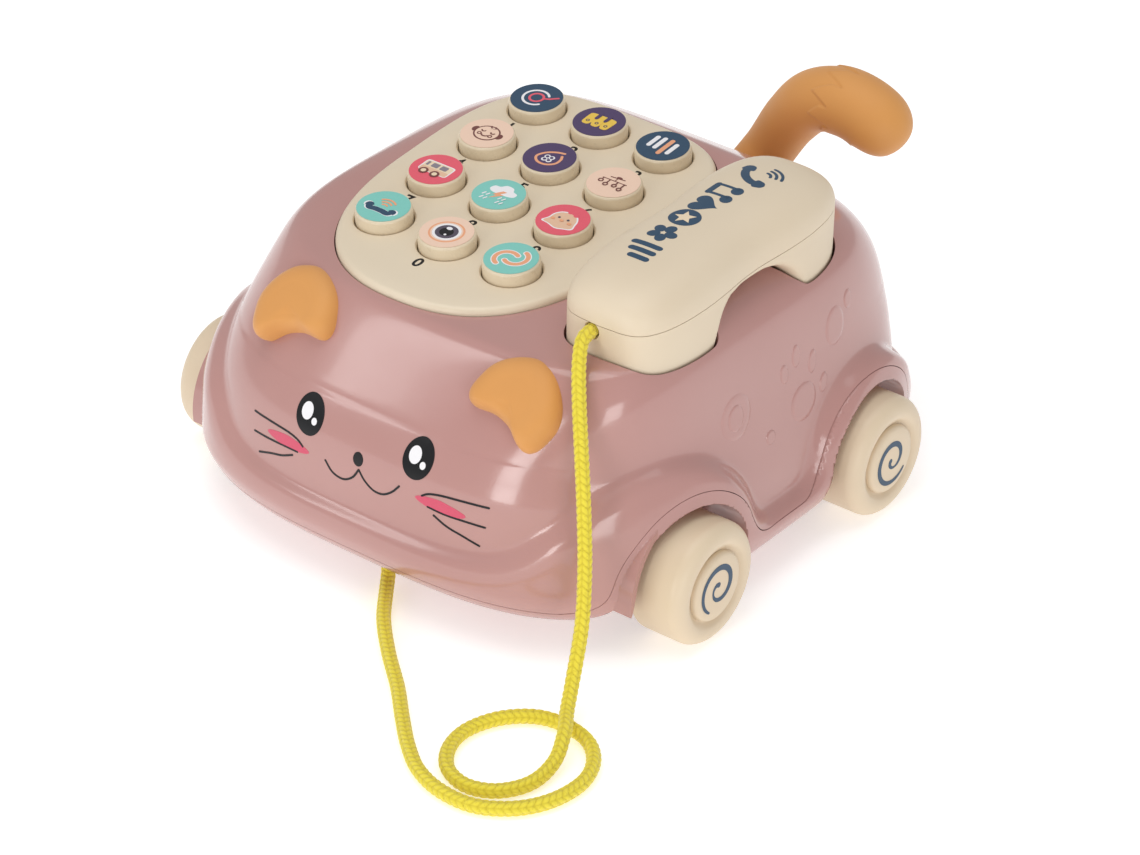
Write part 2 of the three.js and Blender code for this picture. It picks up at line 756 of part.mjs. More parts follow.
put('ear_left', 'orange', ear(-1));
put('ear_right', 'orange', ear(1));
put('tail', 'orange', tail());

[['front', frontAxleY], ['rear', rearAxleY]].forEach(([end, y]) => {
  [['left', -1], ['right', 1]].forEach(([hand, side]) => {
    put(`wheel_${end}_${hand}`, 'cream', toWheelPlace(wheel(), side, y));
    put(`hub_cap_${end}_${hand}`, 'cream', toWheelPlace(hubCap(), side, y));
    put(`axle_keeper_${end}_${hand}`, 'cream', axleKeeper(saddleX[side < 0 ? 0 : 1], y));
  });
  const reach = track - wheelWidth + capSeat - gap;
  put(`axle_${end}`, 'steel', shaft(-reach, reach, y, axleZ, axleRadius, 16));
});

put('speaker_frame', 'dark', speakerFrame());
put('speaker_cone', 'dark', speakerCone());
put('speaker_magnet', 'steel', speakerMagnet());
for (let k = 0; k < 3; k += 1) put(`battery_${k + 1}`, 'cell', batteryCell(k));
put('contact_plate_front', 'steel', contactPlate(bay.y[0] + 0.8));
put('contact_plate_rear', 'steel', contactPlate(bay.y[1] - 0.8));
put('battery_door', 'pink', batteryDoor());
put('battery_door_screw', 'steel', doorScrew());
put('switch_body', 'dark', switchBody());
put('switch_knob', 'dark', switchKnob());
screwPosts.forEach((spot, k) => put(`casing_screw_${k + 1}`, 'steel', casingScrew(spot)));
put('chassis_knot', 'cord', chassisKnot());
put('pull_cord', 'cord', cordTube());

// The origin is on the floor, under the middle of the toy without its cord.
car.position.y = -(noseFront + tailRear) / 2;
const toy = new THREE.Group();
toy.add(car);

export default toy;
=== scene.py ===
"""Looks of the cat-shaped toy telephone: casing, keypad, handset, ears, tail, wheels and cord."""

import math

import bpy
import numpy as np
from mathutils import Matrix, Vector
from mathutils.bvhtree import BVHTree


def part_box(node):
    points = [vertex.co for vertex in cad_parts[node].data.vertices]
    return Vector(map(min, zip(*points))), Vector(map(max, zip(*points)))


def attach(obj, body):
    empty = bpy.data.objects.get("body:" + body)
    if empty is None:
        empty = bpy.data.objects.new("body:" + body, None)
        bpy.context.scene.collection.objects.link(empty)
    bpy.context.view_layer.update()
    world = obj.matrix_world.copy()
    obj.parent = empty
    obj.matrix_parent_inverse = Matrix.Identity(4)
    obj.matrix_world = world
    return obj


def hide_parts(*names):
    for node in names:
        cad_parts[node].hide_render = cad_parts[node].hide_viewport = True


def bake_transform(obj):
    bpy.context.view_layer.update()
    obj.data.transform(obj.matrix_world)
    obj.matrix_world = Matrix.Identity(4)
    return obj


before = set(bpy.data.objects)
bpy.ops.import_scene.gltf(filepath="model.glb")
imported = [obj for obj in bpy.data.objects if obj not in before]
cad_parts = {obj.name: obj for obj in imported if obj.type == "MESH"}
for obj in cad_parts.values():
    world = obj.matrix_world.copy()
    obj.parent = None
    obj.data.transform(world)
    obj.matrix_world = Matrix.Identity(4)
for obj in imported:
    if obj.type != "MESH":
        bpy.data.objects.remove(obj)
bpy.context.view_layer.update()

MM = 0.001
TURN = 2 * math.pi


def middle_of(node):
    """Middle of a CAD node's box, in millimetres."""
    low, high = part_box(node)
    return (np.array(low) + np.array(high)) / 2 / MM


# ---- measures, in millimetres --------------------------------------------------------

FRONT_AXLE = middle_of("axle_front")
REAR_AXLE = middle_of("axle_rear")
FRONT_ROW = -43.7  # the axles, counted like every y below from the keypad's middle
REAR_ROW = 40.5
AHEAD = FRONT_AXLE[1] - FRONT_ROW  # what turns such a y into the frame's own
AXLE_Z = FRONT_AXLE[2]
GAP = 0.3
WALL = 2.4
HAIRLINE = 0.1  # half the gap where two moulded halves meet

FLOOR_Z = 10.6
SEAM_Z = 14.5
ARCH_RADIUS = 21.6
SEAM_RADIUS = 25.4
LINER_X = 65.0

TILT = math.radians(5.12)
KEYPAD_Z = 88.0
DECK = -2.4  # the casing's flat top, from the keypad's face
KEY_RADIUS = 8.3
KEY_PROUD = 3.8

HANDSET_X = 54.2
HANDSET_HALF = 18.4
HANDSET_FRONT = -50.6
HANDSET_REAR = 44.0
HANDSET_TOP = 105.0
HANDSET_BASE = 66.5
PARTING_Z = 92.3
PARTING_SLOPE = 0.035

CORD_RADIUS = 2.0

# ---- small tools ---------------------------------------------------------------------


def deselect():
    if bpy.context.object and bpy.context.object.mode != "OBJECT":
        bpy.ops.object.mode_set(mode="OBJECT")
    bpy.ops.object.select_all(action="DESELECT")


def select_only(piece):
    deselect()
    piece.select_set(True)
    bpy.context.view_layer.objects.active = piece


def placed(name, data):
    """A new object in the scene, made from a mesh, curve, light or camera."""
    thing = bpy.data.objects.new(name, data)
    bpy.context.scene.collection.objects.link(thing)
    return thing


def mend(piece, weld=0.0, outward=True):
    """Welds points closer than a distance in metres and turns the faces outward."""
    select_only(piece)
    bpy.ops.object.mode_set(mode="EDIT")
    bpy.ops.mesh.select_all(action="SELECT")
    if weld:
        bpy.ops.mesh.remove_doubles(threshold=weld)
    if outward:
        bpy.ops.mesh.normals_make_consistent(inside=False)
    bpy.ops.object.mode_set(mode="OBJECT")


def apply_modifiers(piece):
    select_only(piece)
    for modifier in list(piece.modifiers):
        bpy.ops.object.modifier_apply(modifier=modifier.name)


def settle(piece):
    """Puts a new primitive's place into its mesh."""
    select_only(piece)
    bpy.ops.object.transform_apply(location=True, rotation=True, scale=True)


def round_over(piece, degrees=32):
    select_only(piece)
    bpy.ops.object.shade_smooth_by_angle(angle=math.radians(degrees))


def flat_faces_flat(piece):
    """Shades large flat faces as flat right up to their soft edges."""
    piece.modifiers.new("even", "WEIGHTED_NORMAL").keep_sharp = True
    apply_modifiers(piece)


def combine(target, cutter, operation="DIFFERENCE"):
    """Cuts a closed piece by another, joins them, or keeps what they share."""
    modifier = target.modifiers.new("cut", "BOOLEAN")
    modifier.operation = operation
    modifier.solver = "MANIFOLD"
    modifier.object = cutter
    apply_modifiers(target)
    bpy.data.objects.remove(cutter)
    return target


def twin(piece, name):
    return placed(name, piece.data.copy())


def join(pieces, name):
    deselect()
    for piece in pieces:
        piece.select_set(True)
    bpy.context.view_layer.objects.active = pieces[0]
    bpy.ops.object.join()
    pieces[0].name = name
    return pieces[0]


def skin(name, rows, low, high):
    """A closed skin through rings of points; rows is rings x points x 3, in millimetres."""
    rings, around = rows.shape[:2]
    deselect()
    bpy.ops.mesh.primitive_uv_sphere_add(segments=around, ring_count=rings + 1, radius=1)
    piece = bpy.context.object
    piece.name = name
    mesh = piece.data
    unit = np.zeros(len(mesh.vertices) * 3)
    mesh.vertices.foreach_get("co", unit)
    unit = unit.reshape(-1, 3)
    ring = np.rint((1 - np.arccos(np.clip(unit[:, 2], -1, 1)) / math.pi) * (rings + 1)).astype(int)
    turn = np.arctan2(unit[:, 1], unit[:, 0]) / TURN * around
    spot = np.rint(turn).astype(int) % around
    place = rows[np.clip(ring - 1, 0, rings - 1), spot]
    place[ring == 0] = low
    place[ring == rings + 1] = high
    mesh.vertices.foreach_set("co", (place * MM).ravel())
    mesh.update()
    mend(piece)
    bpy.ops.object.shade_smooth()
    return piece


def prism(name, outline, low, high, axis="z"):
    """A flat outline pushed from low to high along an axis, in millimetres."""
    count = len(outline)
    deselect()
    bpy.ops.mesh.primitive_cylinder_add(vertices=count, radius=1, depth=2)
    piece = bpy.context.object
    piece.name = name
    mesh = piece.data
    for vertex in mesh.vertices:
        turn = math.atan2(vertex.co.y, vertex.co.x) / TURN * count
        point = outline[int(round(turn)) % count]
        level = high if vertex.co.z > 0 else low
        if axis == "z":
            vertex.co = Vector((point[0], point[1], level)) * MM
        else:
            vertex.co = Vector((level, point[0], point[1])) * MM
    mend(piece)
    return piece


def tube_rows(line, reach, angle):
    """Rings round a line, each point at its own reach from it."""
    _, side, other = carried_frames(line)
    rows = line[:, None] + (reach * np.cos(angle))[..., None] * side[:, None]
    return rows + (reach * np.sin(angle))[..., None] * other[:, None]


def surface_of(piece):
    """A piece's surface as rays can find it, in millimetres."""
    corners = [vertex.co / MM for vertex in piece.data.vertices]
    return BVHTree.FromPolygons(corners, [tuple(face.vertices) for face in piece.data.polygons])


def block(name, low, high):
    deselect()
    bpy.ops.mesh.primitive_cube_add(size=1)
    piece = bpy.context.object
    piece.name = name
    low, high = np.array(low, float), np.array(high, float)
    piece.scale = (high - low) * MM
    piece.location = (low + high) / 2 * MM
    settle(piece)
    return piece


def rod(name, low, high, y, z, radius, sides=96):
    """A cylinder along X."""
    deselect()
    bpy.ops.mesh.primitive_cylinder_add(
        vertices=sides, radius=radius * MM, depth=(high - low) * MM,
        location=((low + high) / 2 * MM, y * MM, z * MM), rotation=(0, math.pi / 2, 0))
    piece = bpy.context.object
    piece.name = name
    settle(piece)
    return piece


def post(name, x, y, low, high, radius):
    """A cylinder along Z."""
    deselect()
    bpy.ops.mesh.primitive_cylinder_add(
        vertices=48, radius=radius * MM, depth=(high - low) * MM,
        location=(x * MM, y * MM, (low + high) / 2 * MM))
    piece = bpy.context.object
    piece.name = name
    settle(piece)
    return piece


def turned(name, profile, around=96):
    """A piece turned about Z from [radius, height] points; it starts and ends on the axis."""
    profile = np.array(profile, float)
    angle = np.arange(around) / around * TURN
    ring = np.stack([np.cos(angle), np.sin(angle), 0 * angle], 1)
    rows = profile[1:-1, 0, None, None] * ring
    rows[:, :, 2] += profile[1:-1, 1, None]
    return skin(name, rows, (0, 0, profile[0, 1]), (0, 0, profile[-1, 1]))


def move(piece, matrix):
    piece.data.transform(matrix)
    piece.data.update()
    return piece


def arc(centre, radius, start, end, steps):
    """Points of an arc, angles in degrees."""
    angle = np.radians(np.linspace(start, end, steps))
    return [[centre[0] + radius * math.cos(a), centre[1] + radius * math.sin(a)] for a in angle]


def smooth_rows(rows, places):
    """Rows of [place, values...] read at places, on monotone curves."""
    rows = np.array(rows, float)
    at, values = rows[:, 0], rows[:, 1:]
    step = np.diff(at)[:, None]
    slope = np.diff(values, axis=0) / step
    tangent = np.zeros_like(values)
    same = slope[:-1] * slope[1:] > 0
    with np.errstate(divide="ignore", invalid="ignore"):
        tangent[1:-1] = np.where(same, 2 / (1 / slope[:-1] + 1 / slope[1:]), 0)
    tangent[0], tangent[-1] = slope[0], slope[-1]
    places = np.clip(places, at[0], at[-1])
    k = np.clip(np.searchsorted(at, places) - 1, 0, len(at) - 2)
    t = ((places - at[k]) / (at[k + 1] - at[k]))[:, None]
    h = step[k]
    return ((1 + 2 * t) * (1 - t) ** 2 * values[k] + t * (1 - t) ** 2 * h * tangent[k]
            + t * t * (3 - 2 * t) * values[k + 1] + t * t * (t - 1) * h * tangent[k + 1])


def settled_rows(rows, places, spread):
    """Rows read at places, with the bends of their curves evened out over a spread."""
    grid = np.arange(rows[0][0] - 15, rows[-1][0] + 15, 0.25)
    values = smooth_rows(rows, grid)
    reach = np.arange(-3 * spread, 3 * spread + 0.1, 0.25)
    weight = np.exp(-0.5 * (reach / spread) ** 2)
    weight /= weight.sum()
    columns = [np.convolve(column, weight, "same") for column in values.T]
    return np.stack([np.interp(places, grid, column) for column in columns], 1)


def bulge(value, power):
    return np.sign(value) * np.abs(value) ** (2 / power)


def larger(a, b, blend):
    """The larger of two values, with a rounded change-over."""
    share = np.maximum(blend - np.abs(a - b), 0) / blend
    return np.maximum(a, b) + share * share * blend / 4


def ease(value, low, high):
    t = np.clip((value - low) / (high - low), 0, 1)
    return t * t * (3 - 2 * t)


def evenly(outline, count):
    """A closed outline again, with count points evenly spaced along it."""
    closed = np.vstack([outline, outline[:1]])
    along = np.concatenate([[0], np.cumsum(np.linalg.norm(np.diff(closed, axis=0), axis=1))])
    at = np.arange(count) / count * along[-1]
    return np.stack([np.interp(at, along, closed[:, k]) for k in range(closed.shape[1])], 1)


def rounded(x_half, y_front, y_rear, x_power, front_power, rear_power, count, middle):
    """A super-ellipse plan, evenly stepped from its +X side; middle is (x, y)."""
    angle = np.linspace(0, TURN, 6001)[:-1]
    c, s = np.cos(angle), np.sin(angle)
    power_y = np.where(s < 0, front_power, rear_power)
    power_x = power_y if x_power is None else x_power
    y = bulge(s, power_y)
    reach = np.where(y < 0, middle[1] - y_front, y_rear - middle[1])
    plan = np.stack([middle[0] + x_half * bulge(c, power_x), middle[1] + y * reach], 1)
    return evenly(plan, count)


def curve_through(points, count):
    """Evenly spaced points on a centripetal spline through points."""
    p = np.array(points, float)
    p = np.vstack([2 * p[0] - p[1], p, 2 * p[-1] - p[-2]])
    found = []
    for k in range(1, len(p) - 2):
        gaps = np.sqrt(np.linalg.norm(np.diff(p[k - 1:k + 3], axis=0), axis=1))
        t0, t1, t2, t3 = np.concatenate([[0], np.cumsum(gaps)])
        t = np.linspace(t1, t2, 40, endpoint=False)[:, None]
        a1 = (t1 - t) / (t1 - t0) * p[k - 1] + (t - t0) / (t1 - t0) * p[k]
        a2 = (t2 - t) / (t2 - t1) * p[k] + (t - t1) / (t2 - t1) * p[k + 1]
        a3 = (t3 - t) / (t3 - t2) * p[k + 1] + (t - t2) / (t3 - t2) * p[k + 2]
        b1 = (t2 - t) / (t2 - t0) * a1 + (t - t0) / (t2 - t0) * a2
        b2 = (t3 - t) / (t3 - t1) * a2 + (t - t1) / (t3 - t1) * a3
        found.append((t2 - t) / (t2 - t1) * b1 + (t - t1) / (t2 - t1) * b2)
    line = np.vstack(found + [p[-2:-1]])
    along = np.concatenate([[0], np.cumsum(np.linalg.norm(np.diff(line, axis=0), axis=1))])
    at = np.linspace(0, along[-1], count)
    return np.stack([np.interp(at, along, line[:, k]) for k in range(3)], 1), along[-1]


def carried_frames(line):
    """Unit tangent and two side vectors along a line, carried without twisting."""
    tangent = np.gradient(line, axis=0)
    tangent /= np.linalg.norm(tangent, axis=1)[:, None]
    side = np.zeros_like(line)
    start = np.cross(tangent[0], (0.3, 0.2, 0.9))
    side[0] = start / np.linalg.norm(start)
    for k in range(1, len(line)):
        v = side[k - 1] - tangent[k] * (side[k - 1] @ tangent[k])
        side[k] = v / np.linalg.norm(v)
    return tangent, side, np.cross(tangent, side)


# ---- finishes ------------------------------------------------------------------------


def paint(code):
    """A colour written as RRGGBB, as the shader's linear values."""
    values = [int(code[i:i + 2], 16) / 255 for i in (0, 2, 4)]
    return [v / 12.92 if v < 0.04045 else ((v + 0.055) / 1.055) ** 2.4 for v in values] + [1.0]


class Value:
    """A number that varies over a surface; its operators add Math nodes."""

    def __init__(self, finish, socket):
        self.finish = finish
        self.socket = socket

    def math(self, operation, first, second):
        node = self.finish.add("ShaderNodeMath", {"operation": operation}, {0: first, 1: second})
        return Value(self.finish, node.outputs[0])

    def __add__(self, other):
        return self.math("ADD", self, other)

    def __radd__(self, other):
        return self.math("ADD", other, self)

    def __mul__(self, other):
        return self.math("MULTIPLY", self, other)

    def __rmul__(self, other):
        return self.math("MULTIPLY", other, self)


class Finish:
    """One material: a Principled shader and the nodes that feed it."""

    def __init__(self, name, **constants):
        self.material = bpy.data.materials.new(name)
        self.material.use_nodes = True
        self.tree = self.material.node_tree
        self.shader = next(n for n in self.tree.nodes if n.type == "BSDF_PRINCIPLED")
        for socket, value in constants.items():
            self.shader.inputs[socket.replace("_", " ")].default_value = value
        self.place = self.add("ShaderNodeTexCoord").outputs["Object"]

    def add(self, kind, settings=None, sockets=None):
        node = self.tree.nodes.new(kind)
        for name, value in (settings or {}).items():
            setattr(node, name, value)
        for name, value in (sockets or {}).items():
            socket = node.inputs[name]
            if isinstance(value, Value):
                value = value.socket
            if isinstance(value, bpy.types.NodeSocket):
                self.tree.links.new(value, socket)
            else:
                socket.default_value = value
        return node

    def noise(self, per_mm, detail=2.0, rough=0.5):
        """Noise from 0 to 1, with per_mm lumps to a millimetre."""
        node = self.add("ShaderNodeTexNoise", None, {
            "Vector": self.place, "Scale": per_mm / MM, "Detail": detail, "Roughness": rough})
        return Value(self, node.outputs["Fac"])

    def mixed(self, share, first, second):
        node = self.add("ShaderNodeMix", {"data_type": "RGBA"}, {0: share, 6: first, 7: second})
        return node.outputs[2]

    def feed(self, socket, value):
        socket = self.shader.inputs[socket]
        self.tree.links.new(value.socket if isinstance(value, Value) else value, socket)

    def bump(self, height, depth_mm):
        node = self.add("ShaderNodeBump", None, {
            "Height": height, "Distance": depth_mm * MM, "Strength": 1.0})
        self.feed("Normal", node.outputs["Normal"])


def plastic(name, colour, tone, rough, grain_mm, grain, **constants):
    """Moulded plastic: two close tones, uneven gloss and the mould's fine grain."""
    finish = Finish(name, **constants)
    cloudy = finish.noise(0.03, 3.0)
    finish.feed("Base Color", finish.mixed(cloudy, paint(colour), paint(tone)))
    finish.feed("Roughness", rough + 0.05 * finish.noise(0.35, 4.0) + 0.03 * cloudy)
    finish.bump(finish.noise(1 / grain_mm, 3.0), grain)
    return finish.material


def ink(name, colour, tone):
    """Pad-printed ink, a little uneven where it lies thin."""
    finish = Finish(name, Specular_IOR_Level=0.3)
    thin = finish.noise(1.4, 3.0)
    finish.feed("Base Color", finish.mixed(thin, paint(colour), paint(tone)))
    finish.feed("Roughness", 0.3 + 0.08 * thin)
    finish.bump(finish.noise(5.0, 2.0), 0.01)
    return finish.material


def metal(name, colour, tone, rough):
    finish = Finish(name, Metallic=1.0)
    stain = finish.noise(0.4, 4.0)
    finish.feed("Base Color", finish.mixed(stain, paint(colour), paint(tone)))
    finish.feed("Roughness", rough + 0.12 * finish.noise(2.0, 4.0))
    finish.bump(finish.noise(6.0, 2.0), 0.01)
    return finish.material


PINK = plastic("pink_gloss", "bd908a", "b78882", 0.13, 2.2, 0.012, Coat_Weight=0.25, Coat_Roughness=0.06)
CREAM = plastic("cream_satin", "e5d7bf", "dfceb4", 0.34, 0.5, 0.010)
CREAM_MATT = plastic("cream_matt", "e4d4bb", "ddcbb0", 0.44, 0.3, 0.014)
CREAM_KEY = plastic("cream_key", "e5d6bb", "decdb0", 0.24, 0.8, 0.008)
CREAM_WHEEL = plastic("cream_wheel", "e2cfb4", "dac6a9", 0.38, 0.6, 0.012)
ORANGE = plastic("orange_soft", "dd9d55", "d5934b", 0.55, 0.4, 0.02, Sheen_Weight=0.15)
DARK = plastic("dark_plastic", "232326", "2c2c30", 0.45, 0.5, 0.01)
RUBBER = plastic("grey_rubber", "b9b7b0", "aeaca5", 0.7, 0.5, 0.01)
BOARD = plastic("green_board", "2f6b44", "28603c", 0.4, 1.0, 0.02)
SLEEVE = plastic("cell_sleeve", "34659c", "2c588c", 0.3, 0.8, 0.01)
STEEL = metal("plated_steel", "c4c6c8", "b2b4b8", 0.25)

INKS = {
    "navy": ink("ink_navy", "34506a", "2e4860"),
    "purple": ink("ink_purple", "54436a", "4d3d62"),
    "teal": ink("ink_teal", "86cfc4", "80c8bd"),
    "red": ink("ink_red", "ea6474", "e35c6d"),
    "peach": ink("ink_peach", "f3d3bd", "efcdb6"),
    "brown": ink("ink_brown", "7a4a44", "72433e"),
    "white": ink("ink_white", "f4f2f4", "ecebee"),
    "yellow": ink("ink_yellow", "edc857", "e8c04c"),
    "black": ink("ink_black", "17171a", "131316"),
    "orange": ink("ink_orange", "efab84", "eaa47c"),
    "blush": ink("ink_blush", "d75a72", "d0526b"),
    "cream": ink("ink_cream", "f0dcbe", "ebd5b5"),
    "grey": ink("ink_grey", "8f8690", "878089"),
    "charcoal": ink("ink_charcoal", "5a5260", "524b58"),
    "skin": ink("ink_skin", "e9c2a4", "e4bb9c"),
}


def braid_finish():
    """Yellow cord: each plaited bundle is lit fibre, with painted shade darkening the hollows between."""
    finish = Finish("cord_yarn", Sheen_Weight=0.3, Sheen_Roughness=0.5)
    painted_shade_socket = finish.add("ShaderNodeAttribute", {"attribute_name": "hollow"}).outputs["Fac"]
    hollow = Value(finish, painted_shade_socket)
    fibre = finish.noise(4.0, 4.0, 0.7)
    lit = finish.mixed(fibre, paint("f4e548"), paint("ead532"))
    # painted shade: the hollows between the bundles are mixed towards a darker yellow
    finish.feed("Base Color", finish.mixed(hollow * 0.8, lit, paint("bfa513")))
    finish.feed("Roughness", 0.72 + 0.2 * fibre)
    finish.bump(fibre, 0.12)
    return finish.material


CORD = braid_finish()


def dress(piece, material):
    piece.data.materials.clear()
    piece.data.materials.append(material)
    return piece


def keep(piece, body, material=None, stands_for=()):
    """Gives a finished piece its material, its body and the CAD nodes it stands for."""
    if material:
        dress(piece, material)
    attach(piece, body)
    if stands_for:
        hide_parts(*stands_for)


# ---- camera --------------------------------------------------------------------------


def camera():
    azimuth, elevation, roll = math.radians(37.30), math.radians(32.05), math.radians(1.1245)
    level = Vector((math.cos(azimuth), math.sin(azimuth), 0))
    back = Vector((math.sin(azimuth) * math.cos(elevation),
                   -math.cos(azimuth) * math.cos(elevation), math.sin(elevation)))
    rise = back.cross(level)
    right = math.cos(roll) * level + math.sin(roll) * rise
    up = -math.sin(roll) * level + math.cos(roll) * rise
    data = bpy.data.cameras.new("camera")
    data.lens = 139.18
    data.sensor_width = 36
    eye = placed("camera", data)
    matrix = Matrix((right, up, back)).transposed().to_4x4()
    matrix.translation = Vector((0.66596, -0.87018, 0.69595))
    eye.matrix_world = matrix
    bpy.context.scene.camera = eye


camera()

# ---- cord ----------------------------------------------------------------------------

CORD_CORE = CORD_RADIUS - 0.4  # the radius between the stitches
STITCH_HEIGHT = 0.52
FLOOR_LEVEL = 2.2  # the cord's middle line where it lies on the floor
CORD_HOLE = (HANDSET_X - 2.3, 88.2)
KNOT_SPOT = (4.0, -79.0)
CORD_ROUTE = [
    [CORD_HOLE[0], HANDSET_FRONT - 0.4, CORD_HOLE[1]],
    [52.6, -55.5, 87.6], [55, -60, 84], [59.4, -65.5, 76.5], [64.6, -71, 66], [70, -76.5, 53],
    [75, -82, 38], [79, -88, 24], [82, -95.5, 11.2], [86, -103, 6.9],
    [91, -110.6, 6.2], [94.6, -119.5, 3.4], [94.6, -129.5, FLOOR_LEVEL],
    [89.6, -138, FLOOR_LEVEL], [82, -141, FLOOR_LEVEL], [74, -138.5, FLOOR_LEVEL],
    [68.4, -131.6, FLOOR_LEVEL], [66.6, -122.5, FLOOR_LEVEL], [70.2, -112, FLOOR_LEVEL],
    [77.8, -105, FLOOR_LEVEL], [86.4, -103.4, FLOOR_LEVEL], [95, -105.4, FLOOR_LEVEL],
    [101.6, -111.5, FLOOR_LEVEL], [105, -120.5, FLOOR_LEVEL], [103.6, -132, FLOOR_LEVEL],
    [98, -141, FLOOR_LEVEL], [89, -146.6, FLOOR_LEVEL], [78, -147, FLOOR_LEVEL],
    [68, -143.6, FLOOR_LEVEL], [59, -137, FLOOR_LEVEL], [50, -128.5, FLOOR_LEVEL],
    [40, -118.5, FLOOR_LEVEL + 0.2], [28, -108, FLOOR_LEVEL + 0.8], [17.5, -97.5, 3.6],
    [9.5, -87, 3.2], [5.6, -81.4, 4.4], [4.2, -79.3, 6.8], [*KNOT_SPOT, FLOOR_Z - 1.2],
]


def pull_cord():
    """A plaited cord: columns of slanting stitches, leaning left and right by turns."""
    route = np.array(CORD_ROUTE) + (0, AHEAD, 0)
    rings, around = 2300, 36
    columns, pitch = 6, 2.0
    line, length = curve_through(route, rings)
    turn = (np.arange(around) / around)[None, :]
    run = np.linspace(0, length, rings)[:, None] / pitch
    place = turn * columns
    column = np.floor(place)
    across = place - column - 0.5
    lean = np.where(column % 2 == 0, 1.0, -1.0)
    stitch = (run + 0.75 * across * lean) % 1.0
    bulk = np.sqrt(np.maximum(0.0, 1 - (2 * stitch - 1) ** 2)) ** 0.7
    swell = bulk * np.sqrt(np.maximum(0.0, 1 - (1.75 * across) ** 2))
    radius = CORD_CORE + STITCH_HEIGHT * swell
    rows = tube_rows(line, radius, turn * TURN)
    piece = skin("plaited_cord", rows, line[0], line[-1])
    # painted shade: how deep each point lies between the stitches, kept for the cord's finish to darken
    hollow = np.clip(1 - 1.15 * swell, 0, 1)
    painted_shade_layer = piece.data.attributes.new("hollow", "FLOAT", "POINT")
    points = np.zeros(len(piece.data.vertices) * 3)
    piece.data.vertices.foreach_get("co", points)
    flat = rows.reshape(-1, 3)
    lookup = {tuple(np.round(p, 4)): h for p, h in zip(flat, hollow.ravel())}
    values = [lookup.get(tuple(np.round(p, 4)), 0.5) for p in points.reshape(-1, 3) / MM]
    painted_shade_layer.data.foreach_set("value", np.array(values, np.float32))
    dress(piece, CORD)
    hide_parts("pull_cord")
    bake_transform(piece)
    path = [list(p * MM) for p in line[::6]] + [list(line[-1] * MM)]


pull_cord()

# ---- casing --------------------------------------------------------------------------

BODY_MIDDLE = -2.0
BODY = [  # height, half width, front and rear of the body above its bumper
    [FLOOR_Z, 81.4, -87.6, 89], [27, 81.2, -87.6, 89], [44, 78.8, -87, 88.2],
    [53, 77.2, -82.8, 86.8], [64, 75, -75.4, 82.6], [74, 72.4, -68.6, 75.6],
    [80, 70, -64.2, 69.4], [84.5, 65, -59, 62.6], [88.5, 56, -51, 55], [93, 42, -36, 44],
]
BUMPER = [  # and of the bumper with the wheel flares
    [FLOOR_Z, 82.4, -85.2, 86.8], [11.4, 83.7, -86.7, 88.2], [14.5, 85.4, -88.8, 91],
    [20.5, 86.6, -91, 93], [34, 86.4, -90, 92.6], [44, 84.6, -87, 91], [56, 80, -80, 88],
]
FRONT_POWER = 3.3
REAR_POWER = 4.0
CRADLE_POWER = 1.4
CRADLE_SWELL = 2.4
FLARE_FRONT = (-49.0, 17.5, 36.0)  # middle (y, z) and radius of each flare's crease
FLARE_REAR = (42.2, 18.2, 29.0)
ROLL_WIDTH = 5.4


def plan_at(z, half, front, rear, count):
    """The body's plan at one height; it is squarer and wider on the handset's side."""
    high = ease(z, 50, 78)
    angle = np.linspace(0, TURN, 4001)[:-1]
    c, s = np.cos(angle), np.sin(angle)
    power = np.where(s < 0, FRONT_POWER + np.where(c > 0, high * CRADLE_POWER, 0), REAR_POWER)
    y = bulge(s, power)
    reach = np.where(y < 0, BODY_MIDDLE - front, rear - BODY_MIDDLE)
    plan = np.stack([high * CRADLE_SWELL + half * bulge(c, power), BODY_MIDDLE + y * reach], 1)
    return evenly(plan, count)


def below_crease(y, z):
    """How far a point lies inside the roll of bumper and flares."""
    line = 21.0 + 5.4 * ease(np.abs(y - BODY_MIDDLE), 30, 62)
    front, rear = (r - np.hypot(y - y_0, z - z_0) for y_0, z_0, r in (FLARE_FRONT, FLARE_REAR))
    return larger(larger(line - z, front, 10.0), rear, 8.0)


def deck_height(y, offset):
    return KEYPAD_Z + y * math.tan(TILT) + offset / math.cos(TILT)


def body_rows(levels, count, inset=0.0, bumper=True):
    """Rings of the body's skin; y counts from the keypad's middle."""
    upper = settled_rows(BODY, levels, 3.5)
    lower = settled_rows(BUMPER, levels, 1.0)
    rings = []
    for z, high, low in zip(levels, upper, lower):
        ring = plan_at(z, high[0] - inset, high[1] + inset, high[2] - inset, count)
        if bumper and z < 60:
            wide = plan_at(z, low[0] - inset, low[1] + inset, low[2] - inset, count)
            depth = below_crease(ring[:, 1], z)
            crest = np.sqrt(1 - (1 - np.clip(depth / ROLL_WIDTH, 0, 1)) ** 2)
            foot = 1 - np.exp(-((np.maximum(depth + 0.2, 0) / 1.5) ** 2))
            ring = ring + (wide - ring) * (crest * foot)[:, None]
        top = deck_height(ring[:, 1], DECK - inset)
        height = -larger(-np.full(count, z), -top, 1.6)
        rings.append(np.column_stack([ring, height]))
    rows = np.array(rings)
    if bumper:
        for _ in range(3):
            low = rows[3:-1, :, :2]
            rows[3:-1, :, :2] = (rows[2:-2, :, :2] + 2 * low + rows[4:, :, :2]) / 4
            rows[:, :, :2] = (np.roll(rows, 1, 1) + 2 * rows + np.roll(rows, -1, 1))[:, :, :2] / 4
    rows[:, :, 1] += AHEAD
    return rows


def body_skin(name, levels, count, inset=0.0, bumper=True):
    rows = body_rows(levels, count, inset, bumper)
    centre = (CRADLE_SWELL, BODY_MIDDLE + AHEAD)
    top = deck_height(BODY_MIDDLE, DECK - inset)
    return skin(name, rows, (*centre, levels[0]), (*centre, top))


